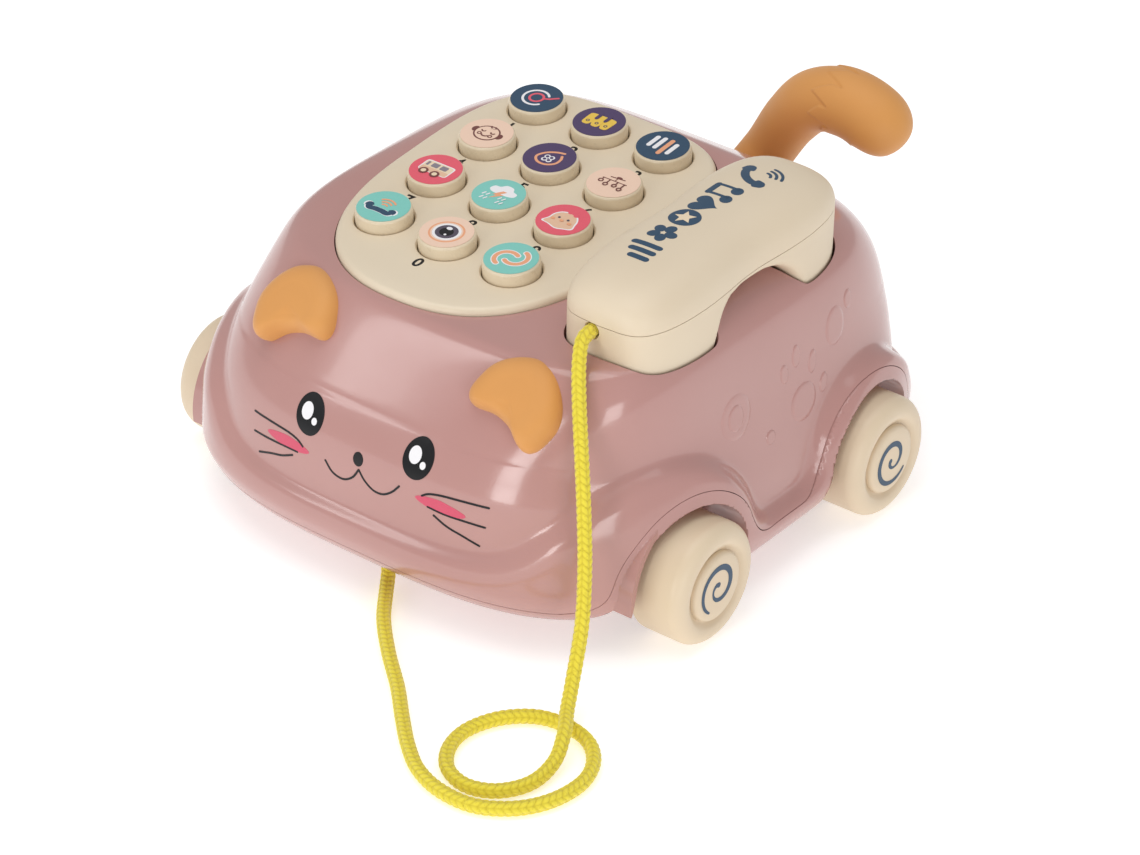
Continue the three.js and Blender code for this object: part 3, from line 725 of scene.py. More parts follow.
def wheel_line(y, radius, base, blend):
    """Height of a line that follows a level and climbs round both wheels."""
    low, high = np.full(len(y), -8.0), np.full(len(y), 60.0)
    for _ in range(40):
        z = (low + high) / 2
        rise = np.maximum(z - AXLE_Z, 0)
        front = radius - np.hypot(y - FRONT_ROW, rise)
        rear = radius - np.hypot(y - REAR_ROW, rise)
        inside = larger(larger(base - z, front, blend), rear, blend) > 0
        low, high = np.where(inside, z, low), np.where(inside, high, z)
    return (low + high) / 2


def under_wheel_line(target, radius, base, blend, inner):
    """Adds to a piece all that lies under such a line, on both flanks."""
    reach = radius + blend * 0.4
    spots = [np.linspace(-120, FRONT_ROW - reach, 12)]
    for axle in (FRONT_ROW, REAR_ROW):
        spots.append(axle - reach * np.cos(np.linspace(0, math.pi, 110)))
    spots.append(np.linspace(FRONT_ROW + reach, REAR_ROW - reach, 30))
    spots.append(np.linspace(REAR_ROW + reach, 120, 12))
    y = np.unique(np.round(np.concatenate(spots), 4))
    edge = np.column_stack([y + AHEAD, wheel_line(y, radius, base(y), blend)])
    outline = np.vstack([edge[::-1], [[-130, -20]], [[130, -20]]])
    for low, high in ((inner, 100), (-100, -inner)):
        combine(target, prism("band", outline, low, high, "x"), "UNION")
    return target


def below_seam(offset):
    """Everything under the seam: the slab across, and the bands round the wheels."""
    slab = block("below_seam", (-63, -130, -20), (63, 130, SEAM_Z + offset))

    def sill(y):
        return SEAM_Z + offset + 3.6 * (1 - ease(np.abs(y - BODY_MIDDLE), 20, 60))

    return under_wheel_line(slab, SEAM_RADIUS + offset, sill, 10.0, 62)


def wheel_arches():
    """The openings over the wheels, with rounded feet."""
    slab = block("arches", (-64.5, -130, -20), (64.5, 130, -10))
    return under_wheel_line(slab, ARCH_RADIUS, lambda y: FLOOR_Z - 0.9 + 0 * y, 13.0, LINER_X)


def cradle_column(grow, low):
    plan = rounded(HANDSET_HALF - 0.9 + grow, HANDSET_FRONT + 0.9 - grow, HANDSET_REAR - 0.9 + grow,
                   4.5, 6, 6, 160, (HANDSET_X, (HANDSET_FRONT + HANDSET_REAR) / 2))
    plan[:, 1] += AHEAD
    column = prism("cradle", plan, low, 112)
    for start, end in ((-62, -17.5 + grow), (13 - grow, 56)):
        lobe = block("lobe", (20, start + AHEAD, 40), (90, end + AHEAD, 120))
        part = twin(column, "lobe_part")
        combine(part, lobe, "INTERSECT")
        yield part
    bpy.data.objects.remove(column)


def wheel_rods(low, high, radius):
    for y in (FRONT_AXLE[1], REAR_AXLE[1]):
        for side in (-1, 1):
            ends = sorted((side * low, side * high))
            yield rod("arch", *ends, y, AXLE_Z, radius, 160)


def casing(grown_handset):
    fine = np.concatenate([np.linspace(FLOOR_Z, 56, 100), np.linspace(57, 93, 34)])
    outer = body_skin("casing_top", fine, 560)
    coarse = np.concatenate([[2.0], np.linspace(FLOOR_Z, 93, 44)])
    inner = body_skin("hollow", coarse, 180, WALL, bumper=False)
    form = surface_of(outer)
    chassis = twin(outer, "chassis")

    cavity = twin(inner, "cavity")
    for part in cradle_column(2.4, HANDSET_BASE - 2.6):
        combine(cavity, part)
    combine(outer, cavity)
    combine(outer, grown_handset)
    pocket = panel_skin("pocket", 0.35, [[-30, 0], [10, 0]])
    combine(outer, pocket)
    combine(outer, below_seam(HAIRLINE))
    round_over(outer)
    keep(outer, "casing", PINK, ["upper_shell"])

    combine(chassis, below_seam(-HAIRLINE), "INTERSECT")
    combine(inner, block("floor", (-130, -130, -20), (130, 130, 14.3)))
    combine(chassis, inner)
    for arch in wheel_rods(LINER_X - 2, 80, ARCH_RADIUS + 2):
        low = block("low", (-100, -130, FLOOR_Z + 1), (100, 130, 60))
        combine(arch, low, "INTERSECT")
        combine(chassis, arch, "UNION")
    combine(chassis, wheel_arches())
    corners = (-(LINER_X - 3.5), -66, -5), (LINER_X - 3.5, 66, 60)
    combine(chassis, block("room", *corners))
    core = cad_copy("lower_chassis", "core")
    combine(core, block("core_room", *corners), "INTERSECT")
    combine(chassis, core, "UNION")
    round_over(chassis)
    flat_faces_flat(chassis)
    keep(chassis, "casing", PINK, ["lower_chassis"])
    return form


def cad_copy(node, name):
    """A merged copy of a CAD node's mesh."""
    copy = placed(name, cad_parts[node].data.copy())
    mend(copy, weld=1e-6, outward=False)
    return copy


# ---- keypad --------------------------------------------------------------------------

PANEL_X = -9.2
PANEL_HALF = 43.4
PANEL_FRONT = -61.6
PANEL_REAR = 49.8
PANEL_MIDDLE = -5.8


def on_keypad(points):
    """Points given flat, from the keypad's middle and its face, in the frame's own millimetres."""
    p = np.array(points, float)
    c, s = math.cos(TILT), math.sin(TILT)
    return np.stack([p[..., 0], p[..., 1] * c - p[..., 2] * s + AHEAD,
                     p[..., 1] * s + p[..., 2] * c + KEYPAD_Z], -1)


def panel_skin(name, grow, layers):
    count = 220
    rows = []
    for z, inset in layers:
        g = grow - inset
        plan = rounded(PANEL_HALF + g, PANEL_FRONT - g, PANEL_REAR + g, None, 2.4, 3.7, count,
                       (PANEL_X, PANEL_MIDDLE))
        rows.append(np.column_stack([plan, np.full(count, z)]))
    ends = [on_keypad((PANEL_X, PANEL_MIDDLE, layers[k][0])) for k in (0, -1)]
    return skin(name, on_keypad(np.array(rows)), *ends)


def key_places():
    """Each key's middle, flat on the keypad, read from its CAD node."""
    spots = []
    for k in range(1, 13):
        x, y, z = middle_of(f"key_{k}")
        flat = (y - AHEAD) * math.cos(TILT) + (z - KEYPAD_Z) * math.sin(TILT)
        spots.append((x, flat))
    return spots


KEYS = key_places()


def keypad_matrix(x, y, height=0.0):
    spot = on_keypad((x, y, height)) * MM
    return Matrix.Translation(Vector(spot)) @ Matrix.Rotation(TILT, 4, "X")


def keypad():
    rim = [[-0.35 - 1.9 + 1.9 * math.sin(a), 1.9 - 1.9 * math.cos(a)]
           for a in np.linspace(0, math.pi / 2, 8)]
    layers = [[-5.5, 0.4], [-5.1, 0]] + rim + [[-0.12, 3.2], [0, 6]]
    panel = panel_skin("keypad_plate", 0, layers)
    for x, y in KEYS:
        profile = [[0, -9], [KEY_RADIUS + GAP, -9], [KEY_RADIUS + GAP, -0.75],
                   [KEY_RADIUS + GAP + 0.12, -0.4], [KEY_RADIUS + GAP + 0.45, -0.08],
                   [KEY_RADIUS + GAP + 1.0, 0.6], [0, 0.6]]
        hole = turned("hole", profile, 72)
        combine(panel, move(hole, keypad_matrix(x, y)))
    round_over(panel, 40)
    keep(panel, "casing", CREAM, ["keypad_panel"])


def key_caps():
    r = KEY_RADIUS
    edge = [[r - 0.9 + q[0], KEY_PROUD - 0.9 + q[1]] for q in arc((0, 0), 0.9, 0, 90, 8)]
    profile = [[0, -7.2], [r + 1.3, -7.2], [r + 1.3, -6.0], [r, -6.0], [r - 0.02, -2.0]] + edge
    profile += [[r - 2.6, KEY_PROUD + 0.03], [0, KEY_PROUD + 0.05]]
    cap = turned("cap", profile, 72)
    round_over(cap, 40)
    for k, (x, y) in enumerate(KEYS):
        piece = twin(cap, f"key_cap_{k + 1}")
        move(piece, keypad_matrix(x, y))
        keep(piece, f"key_{k + 1}", CREAM_KEY, [f"key_{k + 1}"])
    bpy.data.objects.remove(cap)


# ---- prints --------------------------------------------------------------------------


def band(points, widths):
    """A stroke of varying width with round ends, as an outline."""
    p = np.array(points, float)
    w = np.broadcast_to(np.array(widths, float), (len(p),)) / 2
    along = np.gradient(p, axis=0)
    along /= np.maximum(np.linalg.norm(along, axis=1)[:, None], 1e-9)
    across = np.stack([-along[:, 1], along[:, 0]], 1)
    left, right = p + across * w[:, None], p - across * w[:, None]

    def cap(middle, start, radius):
        angle = math.atan2(*(start - middle)[::-1])
        return [[middle[0] + radius * math.cos(angle - a), middle[1] + radius * math.sin(angle - a)]
                for a in np.linspace(0, math.pi, 8)[1:-1]]

    end = cap(p[-1], left[-1], w[-1])
    start = cap(p[0], right[0], w[0])
    return np.vstack([left, end, right[::-1], start])


def ellipse(x, y, a, b=None, turn=0.0, count=32):
    b = a if b is None else b
    t = np.arange(count) / count * TURN
    c, s = math.cos(math.radians(turn)), math.sin(math.radians(turn))
    u, v = a * np.cos(t), b * np.sin(t)
    return np.stack([x + u * c - v * s, y + u * s + v * c], 1)


def spline(points, count=40):
    """Points on a smooth flat curve."""
    line, _ = curve_through([[*p, 0.0] for p in points], count)
    return line[:, :2]


def loop(points, count=60):
    """A smooth closed flat curve through points."""
    p = np.array(points, float)
    around = np.vstack([p[-3:], p, p[:4]])
    line = spline(around, 40 * len(around))
    start = np.argmin(np.linalg.norm(line[:len(line) // 2] - p[0], axis=1))
    later = line[start + 20:]
    end = start + 20 + np.argmin(np.linalg.norm(later - p[0], axis=1))
    return evenly(line[start:end], count)


def ring(x, y, outer, inner, count=40):
    """A ring as one outline, joined by a slit too fine to see."""
    t = np.linspace(0.002, TURN - 0.002, count)
    out = np.stack([x + outer * np.cos(t), y + outer * np.sin(t)], 1)
    back = np.stack([x + inner * np.cos(t), y + inner * np.sin(t)], 1)[::-1]
    return np.vstack([out, back])


def star(x, y, outer, inner):
    angle = np.radians(180 + np.arange(10) * 36)
    reach = np.where(np.arange(10) % 2 == 0, outer, inner)
    return np.stack([x + reach * np.cos(angle), y + reach * np.sin(angle)], 1)


def bar(x0, y0, x1, y1, width):
    return band(np.linspace((x0, y0), (x1, y1), 3), width)


def printed(name, layers, lift=0.02):
    """Flat coloured shapes as one thin mesh; each layer lies a little over the last."""
    step, depth = 0.018, 0.05
    made = []
    for k, (colour, outline) in enumerate(layers):
        curve = bpy.data.curves.new("shape", "CURVE")
        curve.dimensions = "2D"
        curve.fill_mode = "BOTH"
        curve.extrude = depth / 2 * MM
        line = curve.splines.new("POLY")
        line.points.add(len(outline) - 1)
        for point, (x, y) in zip(line.points, outline):
            point.co = (x * MM, y * MM, 0, 1)
        line.use_cyclic_u = True
        select_only(placed("shape", curve))
        bpy.ops.object.convert(target="MESH")
        shape = bpy.context.object
        move(shape, Matrix.Translation((0, 0, (lift + k * step) * MM)))
        dress(shape, INKS[colour])
        made.append(shape)
    piece = join(made, name)
    mend(piece, weld=1e-7, outward=False)
    return piece


def outlined(colour, edge, outline, width):
    """A shape with a paler edge round it."""
    p = np.array(outline, float)
    middle = p.mean(0)
    reach = np.linalg.norm(p - middle, axis=1).max()
    return [(edge, middle + (p - middle) * (1 + width / reach)), (colour, p)]


def clock_icon():
    wide = arc((-0.3, 0), 3.9, 40, 320, 40)
    return [("white", band(wide, 0.75)), ("red", ring(-0.1, 0.1, 2.5, 1.75)),
            ("red", band(spline([[2.2, 0.7], [3.6, 1.4], [4.6, 2.3], [5.6, 3.2]]), 0.7))]


def piano_icon():
    shapes = [("yellow", rounded(3.75, -1.4, 2.4, 6, 6, 6, 48, (0, 0.5)))]
    for k in (-1, 0, 1):
        shapes.append(("yellow", rounded(1.15, -2.5, 1.0, 3, 3, 3, 30, (k * 2.55, -0.8))))
        shapes.append(("charcoal", ring(k * 2.55, -1.0, 0.5, 0.24, 16)))
    for x in (-1.28, 1.28):
        shapes.append(("purple", bar(x, 0.7, x, 2.8, 0.95)))
    return shapes


def bars_icon():
    rows = ((-3.3, -1.5, 2.6, "white"), (-1.3, -1.7, 2.9, "white"), (0.9, -3.3, 3.0, "orange"),
            (2.9, -2.2, 2.0, "white"))
    return [(colour, bar(x, low, x, high, 1.25)) for x, low, high, colour in rows]


def baby_icon():
    line = 0.38
    shapes = []
    for side in (-1, 1):
        shapes.append(("brown", ellipse(side * 3.5, 0.2, 0.95, 1.15)))
    shapes += [("brown", ellipse(0, 0, 3.45, 3.2)), ("peach", ellipse(0, 0, 3.05, 2.8))]
    for side in (-1, 1):
        shapes.append(("brown", ring(side * 1.6, -0.9, 0.62, 0.3, 20)))
        shapes.append(("brown", band(arc((side * 1.35, 0.75), 0.55, 200, 340, 10), line)))
    shapes.append(("brown", band(arc((0, -0.4), 1.1, 215, 325, 14), line)))
    shapes.append(("brown", band(spline([[-0.7, 2.9], [0, 2.1], [0.8, 2.4], [0.5, 3.0]]), line)))
    return shapes


def drop_icon():
    path = spline([[2.2, 3.4], [0.3, 2.9], [-2.2, 1.2], [-3.2, -1.2], [-1.6, -3.0], [1.0, -3.1],
                   [2.9, -1.5], [3.0, 0.8], [2.4, 2.0]], 60)
    shapes = [("orange", band(path, 0.7))]
    for colour, spread, size in (("white", 1.0, 0.78), ("purple", 0.9, 0.45)):
        for a in np.radians((45, 135, 225, 315)):
            shapes.append((colour, ellipse(spread * math.cos(a), -0.6 + spread * math.sin(a), size)))
    return shapes


def mobile_icon():
    line = 0.34
    shapes = [("brown", bar(-3.9, 0.6, 3.9, 0.6, line)), ("brown", bar(0, 0.6, 0, 2.2, line)),
              ("brown", bar(-2.2, 1.9, 2.2, 2.3, line)), ("brown", ellipse(0.3, 2.5, 0.9, 0.45))]
    for x, drop in ((-3.6, -0.9), (-1.4, -1.9), (1.2, -1.4), (3.4, -2.2)):
        shapes.append(("brown", bar(x, 0.5, x, drop + 0.7, line)))
        shapes.append(("brown", ring(x, drop, 0.82, 0.46, 20)))
    return shapes


def bus_icon():
    shapes = [("white", rounded(4.1, -1.9, 2.6, 9, 9, 9, 60, (0, 0.3))),
              ("cream", rounded(3.8, -1.7, 2.3, 9, 9, 9, 60, (0, 0.3))),
              ("skin", rounded(3.8, -1.7, -0.1, 9, 9, 9, 60, (0, -0.9)))]
    for x, half in ((-3.0, 0.35), (-0.9, 0.95), (1.6, 0.95)):
        shapes.append(("grey", rounded(half, 0.3, 1.9, 9, 9, 9, 30, (x, 1.1))))
    for x in (-2.1, 1.1):
        shapes.append(("brown", ellipse(x, -1.9, 1.2)))
        shapes.append(("cream", ellipse(x, -1.9, 0.65)))
    return shapes


def storm_icon():
    cloud = loop([[-3.3, 1.0], [-2.9, 2.4], [-1.5, 2.7], [-0.4, 3.8], [1.6, 3.6], [2.4, 2.5],
                  [3.7, 2.0], [3.7, 0.8], [2.4, 0.2], [0, 0.1], [-2.2, 0.2]], 90)
    bolt = np.array([[0.2, 1.5], [-1.3, -0.6], [-0.3, -0.6], [-1.2, -2.4], [1.3, 0.1], [0.3, 0.1],
                     [1.3, 1.5]])
    shapes = [("white", cloud), ("orange", bolt)]
    for x in (-3.0, -1.9, 1.5, 2.6):
        for y, shift in ((-0.9, 0.0), (-2.5, 0.4)):
            shapes.append(("white", bar(x + shift, y, x - 0.35 + shift, y - 0.8, 0.36)))
    return shapes


def chick_icon():
    body = loop([[-3.0, -0.8], [-3.6, -2.3], [-1.8, -2.7], [0.4, -3.3], [2.0, -2.8], [3.6, -2.0],
                 [3.3, -0.4], [2.9, 1.0], [1.8, 2.3], [0, 2.7], [-1.8, 2.2], [-2.8, 0.9]], 90)
    shapes = outlined("skin", "white", body, 0.45)
    for x, y in ((-0.2, 3.1), (0.8, 3.2), (1.6, 2.7)):
        shapes.append(("red", ellipse(x, y, 0.62)))
    for side in (-1, 1):
        shapes.append(("charcoal", ellipse(side * 1.2, 0.3, 0.32)))
        shapes.append(("orange", ellipse(side * 2.2, -0.7, 0.55, 0.4)))
    shapes.append(("orange", ellipse(0, -0.5, 0.5, 0.36)))
    return shapes


def call_icon():
    tube = band(spline([[-3.2, -1.0], [-2.6, -1.9], [-1.0, -1.75], [1.0, -1.75], [2.6, -1.9],
                        [3.2, -1.0]]), [2.1, 2.2] + [1.6] * 36 + [2.2, 2.1])
    shapes = outlined("navy", "white", tube, 0.45)
    for radius in (1.0, 2.0, 3.0):
        shapes.append(("orange", band(arc((0, -0.3), radius, 50, 130, 14), 0.5)))
    return shapes


def lens_icon():
    return [("orange", ellipse(0, 0, 5.3, 5.2, 0, 48)), ("peach", ellipse(0, 0, 4.7, 4.6, 0, 48)),
            ("white", ellipse(0, 0, 4.2, 4.1, 0, 48)), ("charcoal", ellipse(0, 0, 3.4, 3.3, 0, 48)),
            ("black", ellipse(0, -0.1, 2.1, 2.0)), ("white", ellipse(-0.3, 1.7, 0.95, 0.7)),
            ("white", ellipse(0.5, -1.4, 0.4))]


def swap_icon():
    shapes = []
    for turn, shift in ((0, -0.9), (180, 0.9)):
        path = arc((shift, shift), 3.1, turn + 55, turn + 250, 40)
        shapes.append(("white", band(path, 1.75)))
        shapes.append(("orange", band(path, 1.2)))
    return shapes


ICONS = [  # label colour, drawing and its size
    ("navy", clock_icon, 1.0), ("purple", piano_icon, 1.25), ("navy", bars_icon, 1.15),
    ("peach", baby_icon, 1.2), ("purple", drop_icon, 1.15), ("peach", mobile_icon, 1.05),
    ("red", bus_icon, 1.25), ("teal", storm_icon, 1.25), ("red", chick_icon, 1.3),
    ("teal", call_icon, 1.25), ("peach", lens_icon, 1.0), ("teal", swap_icon, 1.1),
]


def key_prints():
    for k, ((x, y), (colour, icon, size)) in enumerate(zip(KEYS, ICONS)):
        layers = [(colour, ellipse(0, 0, KEY_RADIUS - 0.55, count=72))]
        layers += [(tone, np.array(shape) * size) for tone, shape in icon()]
        piece = printed(f"key_print_{k + 1}", layers)
        move(piece, keypad_matrix(x, y, KEY_PROUD + 0.05))
        keep(piece, f"key_{k + 1}")


def digits():
    """The digits printed on the plate, one in front of each key that has one."""
    for k, digit in [*enumerate("123456789"), (10, "0")]:
        deselect()
        bpy.ops.object.text_add()
        text = bpy.context.object
        text.data.body = digit
        text.data.size = 5.6 * MM
        text.data.extrude = 0.02 * MM
        text.data.offset = 0.16 * MM
        text.data.align_x = "CENTER"
        text.data.align_y = "CENTER"
        bpy.ops.object.convert(target="MESH")
        piece = bpy.context.object
        piece.name = f"digit_{digit}"
        x, y = KEYS[k]
        move(piece, keypad_matrix(x - 0.8, y - 12.2, 0.0))
        keep(piece, "casing", INKS["black"])


# ---- handset -------------------------------------------------------------------------

UNDERSIDE = [  # y and height along the handset's belly
    [-60, 68.5], [-52, 67.2], [-48, HANDSET_BASE], [-25.5, HANDSET_BASE], [-22.6, 68.6], [-20.5, 75],
    [-17.6, 84.2], [-13.5, 89.1], [-7, 90.4], [0, 90.4], [8, 88.6], [15, 84], [19.6, 77.6],
    [22.4, 70.5], [25.5, HANDSET_BASE + 1], [38, HANDSET_BASE + 1], [43, 68.6], [60, 70],
]


def handset_skin():
    """The handset as one smooth form, before it is parted."""
    stations, around = 230, 120
    middle = (HANDSET_FRONT + HANDSET_REAR) / 2
    length = (HANDSET_REAR - HANDSET_FRONT) / 2
    along = -np.cos(np.linspace(0.012, 0.988, stations) * math.pi)
    y = middle + along * length
    under = smooth_rows(UNDERSIDE, y)[:, 0]
    roundness = (1 - np.abs(along) ** 4.2) ** (1 / 4.2)
    waist = 1.6 * np.exp(-(((y + 3) / 15) ** 2))
    across = (HANDSET_HALF - waist) * roundness
    parting = PARTING_Z + PARTING_SLOPE * y
    crown = (HANDSET_TOP - PARTING_Z) * (1 - np.abs(along) ** 3.4) ** (1 / 3.4)
    depth = np.maximum(0.2, parting - under)
    rows = np.zeros((stations, around, 3))
    for k in range(stations):
        angle = np.linspace(0, TURN, 1601)[:-1]
        c, s = np.cos(angle), np.sin(angle)
        lower = s < 0
        power = np.where(lower, 8.0, 2.7)
        draft = np.where(lower, 1 + 0.04 * s, 1.0)
        x = across[k] * draft * bulge(c, power)
        z = np.where(lower, depth[k], crown[k]) * bulge(s, power)
        ring_points = evenly(np.stack([x, z], 1), around)
        rows[k, :, 0] = HANDSET_X + ring_points[:, 0]
        rows[k, :, 1] = y[k] + AHEAD
        rows[k, :, 2] = parting[k] + ring_points[:, 1]
    ends = [(HANDSET_X, y[k] + AHEAD + side * 0.3, parting[k]) for k, side in ((0, -1), (-1, 1))]
    return skin("handset_top", rows, *ends)


def grown(piece, amount):
    """A copy pushed outward everywhere by an amount."""
    copy = twin(piece, "grown")
    mesh = copy.data
    spots = np.zeros(len(mesh.vertices) * 3)
    away = np.zeros(len(mesh.vertices) * 3)
    mesh.vertices.foreach_get("co", spots)
    mesh.vertices.foreach_get("normal", away)
    mesh.vertices.foreach_set("co", spots + away * amount * MM)
    mesh.update()
    return copy


def handset(whole):
    form = surface_of(whole)
    lower = twin(whole, "handset_base")
    for piece, low, high in ((whole, HAIRLINE, 60), (lower, -60, -HAIRLINE)):
        slab = block("slab", (-100, -130, low), (100, 130, high))
        turn = Matrix.Rotation(math.atan(PARTING_SLOPE), 4, "X")
        move(slab, Matrix.Translation((0, AHEAD * MM, PARTING_Z * MM)) @ turn)
        combine(piece, slab, "INTERSECT")
        round_over(piece, 45)
    hole = turned("hole", [[0, -9], [CORD_RADIUS + 0.25, -9], [CORD_RADIUS + 0.25, -0.6],
                           [CORD_RADIUS + 0.7, 0.3], [CORD_RADIUS + 1.2, 4], [0, 4]], 48)
    spot = Vector((CORD_HOLE[0], HANDSET_FRONT + AHEAD, CORD_HOLE[1])) * MM
    move(hole, Matrix.Translation(spot) @ Matrix.Rotation(math.pi / 2, 4, "X"))
    combine(lower, hole)
    for y in (-36, 33):
        combine(lower, post("well", HANDSET_X, y + AHEAD, 60, HANDSET_BASE + 4, 3.1))
    round_over(lower, 45)
    keep(whole, "handset", CREAM_MATT, ["handset_upper"])
    keep(lower, "handset", CREAM_MATT, ["handset_lower"])
    return form


# ---- shapes laid on curved surfaces ----------------------------------------------------


def laid(name, form, outline, ray, place, colour, height, rings=6):
    """A flat shape laid on a surface as a thin patch.

    place turns the shape's own (u, v) into the point where its ray starts. height is the
    rise above the surface, as a number or as a function of the share from rim to middle."""
    p = np.array(outline, float)
    count = len(p)
    middle = p.mean(0)
    direction = Vector(ray)
    vertices, faces = [], []
    for k in range(rings + 1):
        share = k / rings
        lift = height(1 - share) if callable(height) else height
        for q in middle + (p - middle) * share:
            vertices.append(lie_on(form, place(q), direction, lift))
    for k in range(rings):
        for m in range(count):
            n = (m + 1) % count
            a, b = k * count + m, k * count + n
            faces.append((a, a + count, b + count, b))
    return patch(name, vertices, faces, direction, colour)


def lie_on(form, start, direction, lift):
    hit, normal, _, _ = form.ray_cast(Vector(start), direction)
    if hit is None:
        hit, normal, _, _ = form.find_nearest(Vector(start) + direction * 100)
    if normal.dot(direction) > 0:
        normal = -normal
    return hit + normal * lift


def patch(name, vertices, faces, direction, colour):
    """A thin closed sheet that faces the way its rays came from."""
    mesh = bpy.data.meshes.new(name)
    mesh.from_pydata([tuple(v * MM) for v in vertices], [], faces)
    piece = placed(name, mesh)
    mend(piece, weld=2e-6)
    facing = sum((p.normal.dot(direction) * p.area for p in piece.data.polygons), 0.0)
    if facing > 0:
        piece.data.flip_normals()
    thick = piece.modifiers.new("thick", "SOLIDIFY")
    thick.thickness = 0.12 * MM
    thick.offset = -1
    apply_modifiers(piece)
    round_over(piece, 40)
    return dress(piece, colour)


def stroke(name, form, path, widths, ray, place, colour, lift):
    """A drawn line laid on a surface as a narrow ribbon."""
    p = np.array(path, float)
    w = np.broadcast_to(np.array(widths, float), (len(p),)) / 2
    along = np.gradient(p, axis=0)
    along /= np.linalg.norm(along, axis=1)[:, None]
    across = np.stack([-along[:, 1], along[:, 0]], 1)
    direction = Vector(ray)
    lanes = np.linspace(-1, 1, 5)
    vertices, faces = [], []
    ends = np.array([0.0, 0.55, 0.85, 1.0])
    steps = [(0, -e, math.sqrt(max(0.02, 1 - e * e))) for e in ends[:0:-1]]
    steps += [(k, 0, 1) for k in range(len(p))]
    steps += [(len(p) - 1, e, math.sqrt(max(0.02, 1 - e * e))) for e in ends[1:]]
    for k, push, share in steps:
        base = p[k] + along[k] * push * w[k]
        for lane in lanes:
            q = base + across[k] * (lane * w[k] * share)
            vertices.append(lie_on(form, place(q), direction, lift))
    for k in range(len(steps) - 1):
        for m in range(len(lanes) - 1):
            a = k * len(lanes) + m
            faces.append((a, a + 1, a + 1 + len(lanes), a + len(lanes)))
    return patch(name, vertices, faces, direction, colour)


def from_front(q):
    return (q[0], -200, q[1])


def from_above(q):
    return (q[0], q[1] + AHEAD, 200)


def from_side(side):
    return lambda q: (side * 200, q[0] + AHEAD, q[1])


def cat_face(form):
    """Eyes, nose, mouth, whiskers and cheeks, given as (x, z) on the brow."""
    ahead = (0, 1, 0)
    parts = []

    def spot(outline, colour, lift):
        parts.append(laid("spot", form, outline, ahead, from_front, INKS[colour], lift))

    def line(points, width, lift):
        parts.append(stroke("line", form, spline(points), width, ahead, from_front, INKS["black"], lift))

    for side, x, z in ((-1, -19.6, 49.4), (1, 18.9, 50.2)):
        spot(ellipse(x, z, 4.9, 5.6, -10 * side, 48), "black", 0.10)
        spot(ellipse(x - 1.2, z + 0.7, 2.0, 2.3, 0, 32), "white", 0.14)
        spot(ellipse(x + 2.0, z - 1.2, 0.95, 1.0, 0, 24), "white", 0.14)
    spot(ellipse(-0.4, 43.6, 1.75, 2.1, 0, 32), "black", 0.10)
    mouth = [
        [[-11.9, 38.9], [-9.2, 36.2], [-5.4, 35.5], [-2, 37.4], [0.15, 40.6]],
        [[0.15, 40.6], [2.3, 38.1], [5.6, 36.2], [8.9, 36.3], [12.1, 38.3], [14.5, 41.0]],
    ]
    for half in mouth:
        line(half, 0.62, 0.10)
    for x, z, turn in ((-26.2, 38.9, -1.0), (28.3, 39.5, -4.0)):
        cheek = ellipse(x, z, 8.2, 2.0, turn, 40)
        cheek[:, 1] = z + (cheek[:, 1] - z) * (1 - 0.25 * np.abs((cheek[:, 0] - x) / 8.2))
        spot(cheek, "blush", 0.08)
    whiskers = [
        [[-40.4, 42.3], [-31.8, 42.3], [-25.2, 41.9], [-22.1, 41.0], [-20.4, 39.8]],
        [[-40.2, 36.2], [-32.8, 36.7], [-27.3, 37.1], [-22.4, 37.3]],
        [[-38.0, 30.4], [-32.8, 32.3], [-28.4, 33.6], [-24.3, 35.5]],
        [[22.3, 41.0], [24.1, 42.1], [27.9, 43.0], [35.4, 43.5], [42.9, 43.6]],
        [[24.4, 38.3], [29.7, 37.8], [36.4, 37.7], [42.3, 37.5]],
        [[26.5, 36.3], [30.7, 34.3], [35.8, 32.9], [40.9, 31.3]],
    ]
    for whisker in whiskers:
        line(whisker, 0.6, 0.12)
    keep(join(parts, "face_print"), "casing")


RELIEFS = [  # middle (y, z), half sizes, turn and points of each raised oval
    (13.8, 45.4, 6.4, 5.6, 20, 56), (6.0, 57.2, 1.9, 3.2, 8, 56), (11.8, 60.4, 2.0, 3.7, 0, 56),
    (19.5, 55.4, 2.0, 3.7, -12, 56), (23.8, 46.9, 1.9, 3.1, -24, 56), (31.4, 61.2, 5.0, 6.2, 0, 56),
    (38.9, 66.2, 2.2, 3.0, 0, 56), (-2.7, 41.7, 2.2, 2.2, 0, 56), (-17.0, 54.4, 7.0, 7.0, 0, 64),
]
RING_CORE = (-17.4, 54.2, 3.6, 4.2, 0, 48)


def side_reliefs(form):
    """Low paw prints and rings raised on both flanks."""
    def pillow(share):
        return 0.42 * min(1.0, share * 4) ** 0.5 - 0.12

    def high_pillow(share):
        return 0.3 + pillow(share)

    for side, name in ((1, "right"), (-1, "left")):
        parts = []
        for oval, height in [(RING_CORE, high_pillow)] + [(oval, pillow) for oval in RELIEFS]:
            outline = ellipse(*oval)
            parts.append(laid("relief", form, outline, (-side, 0, 0), from_side(side), PINK, height, 12))
        keep(join(parts, f"paw_relief_{name}"), "casing")


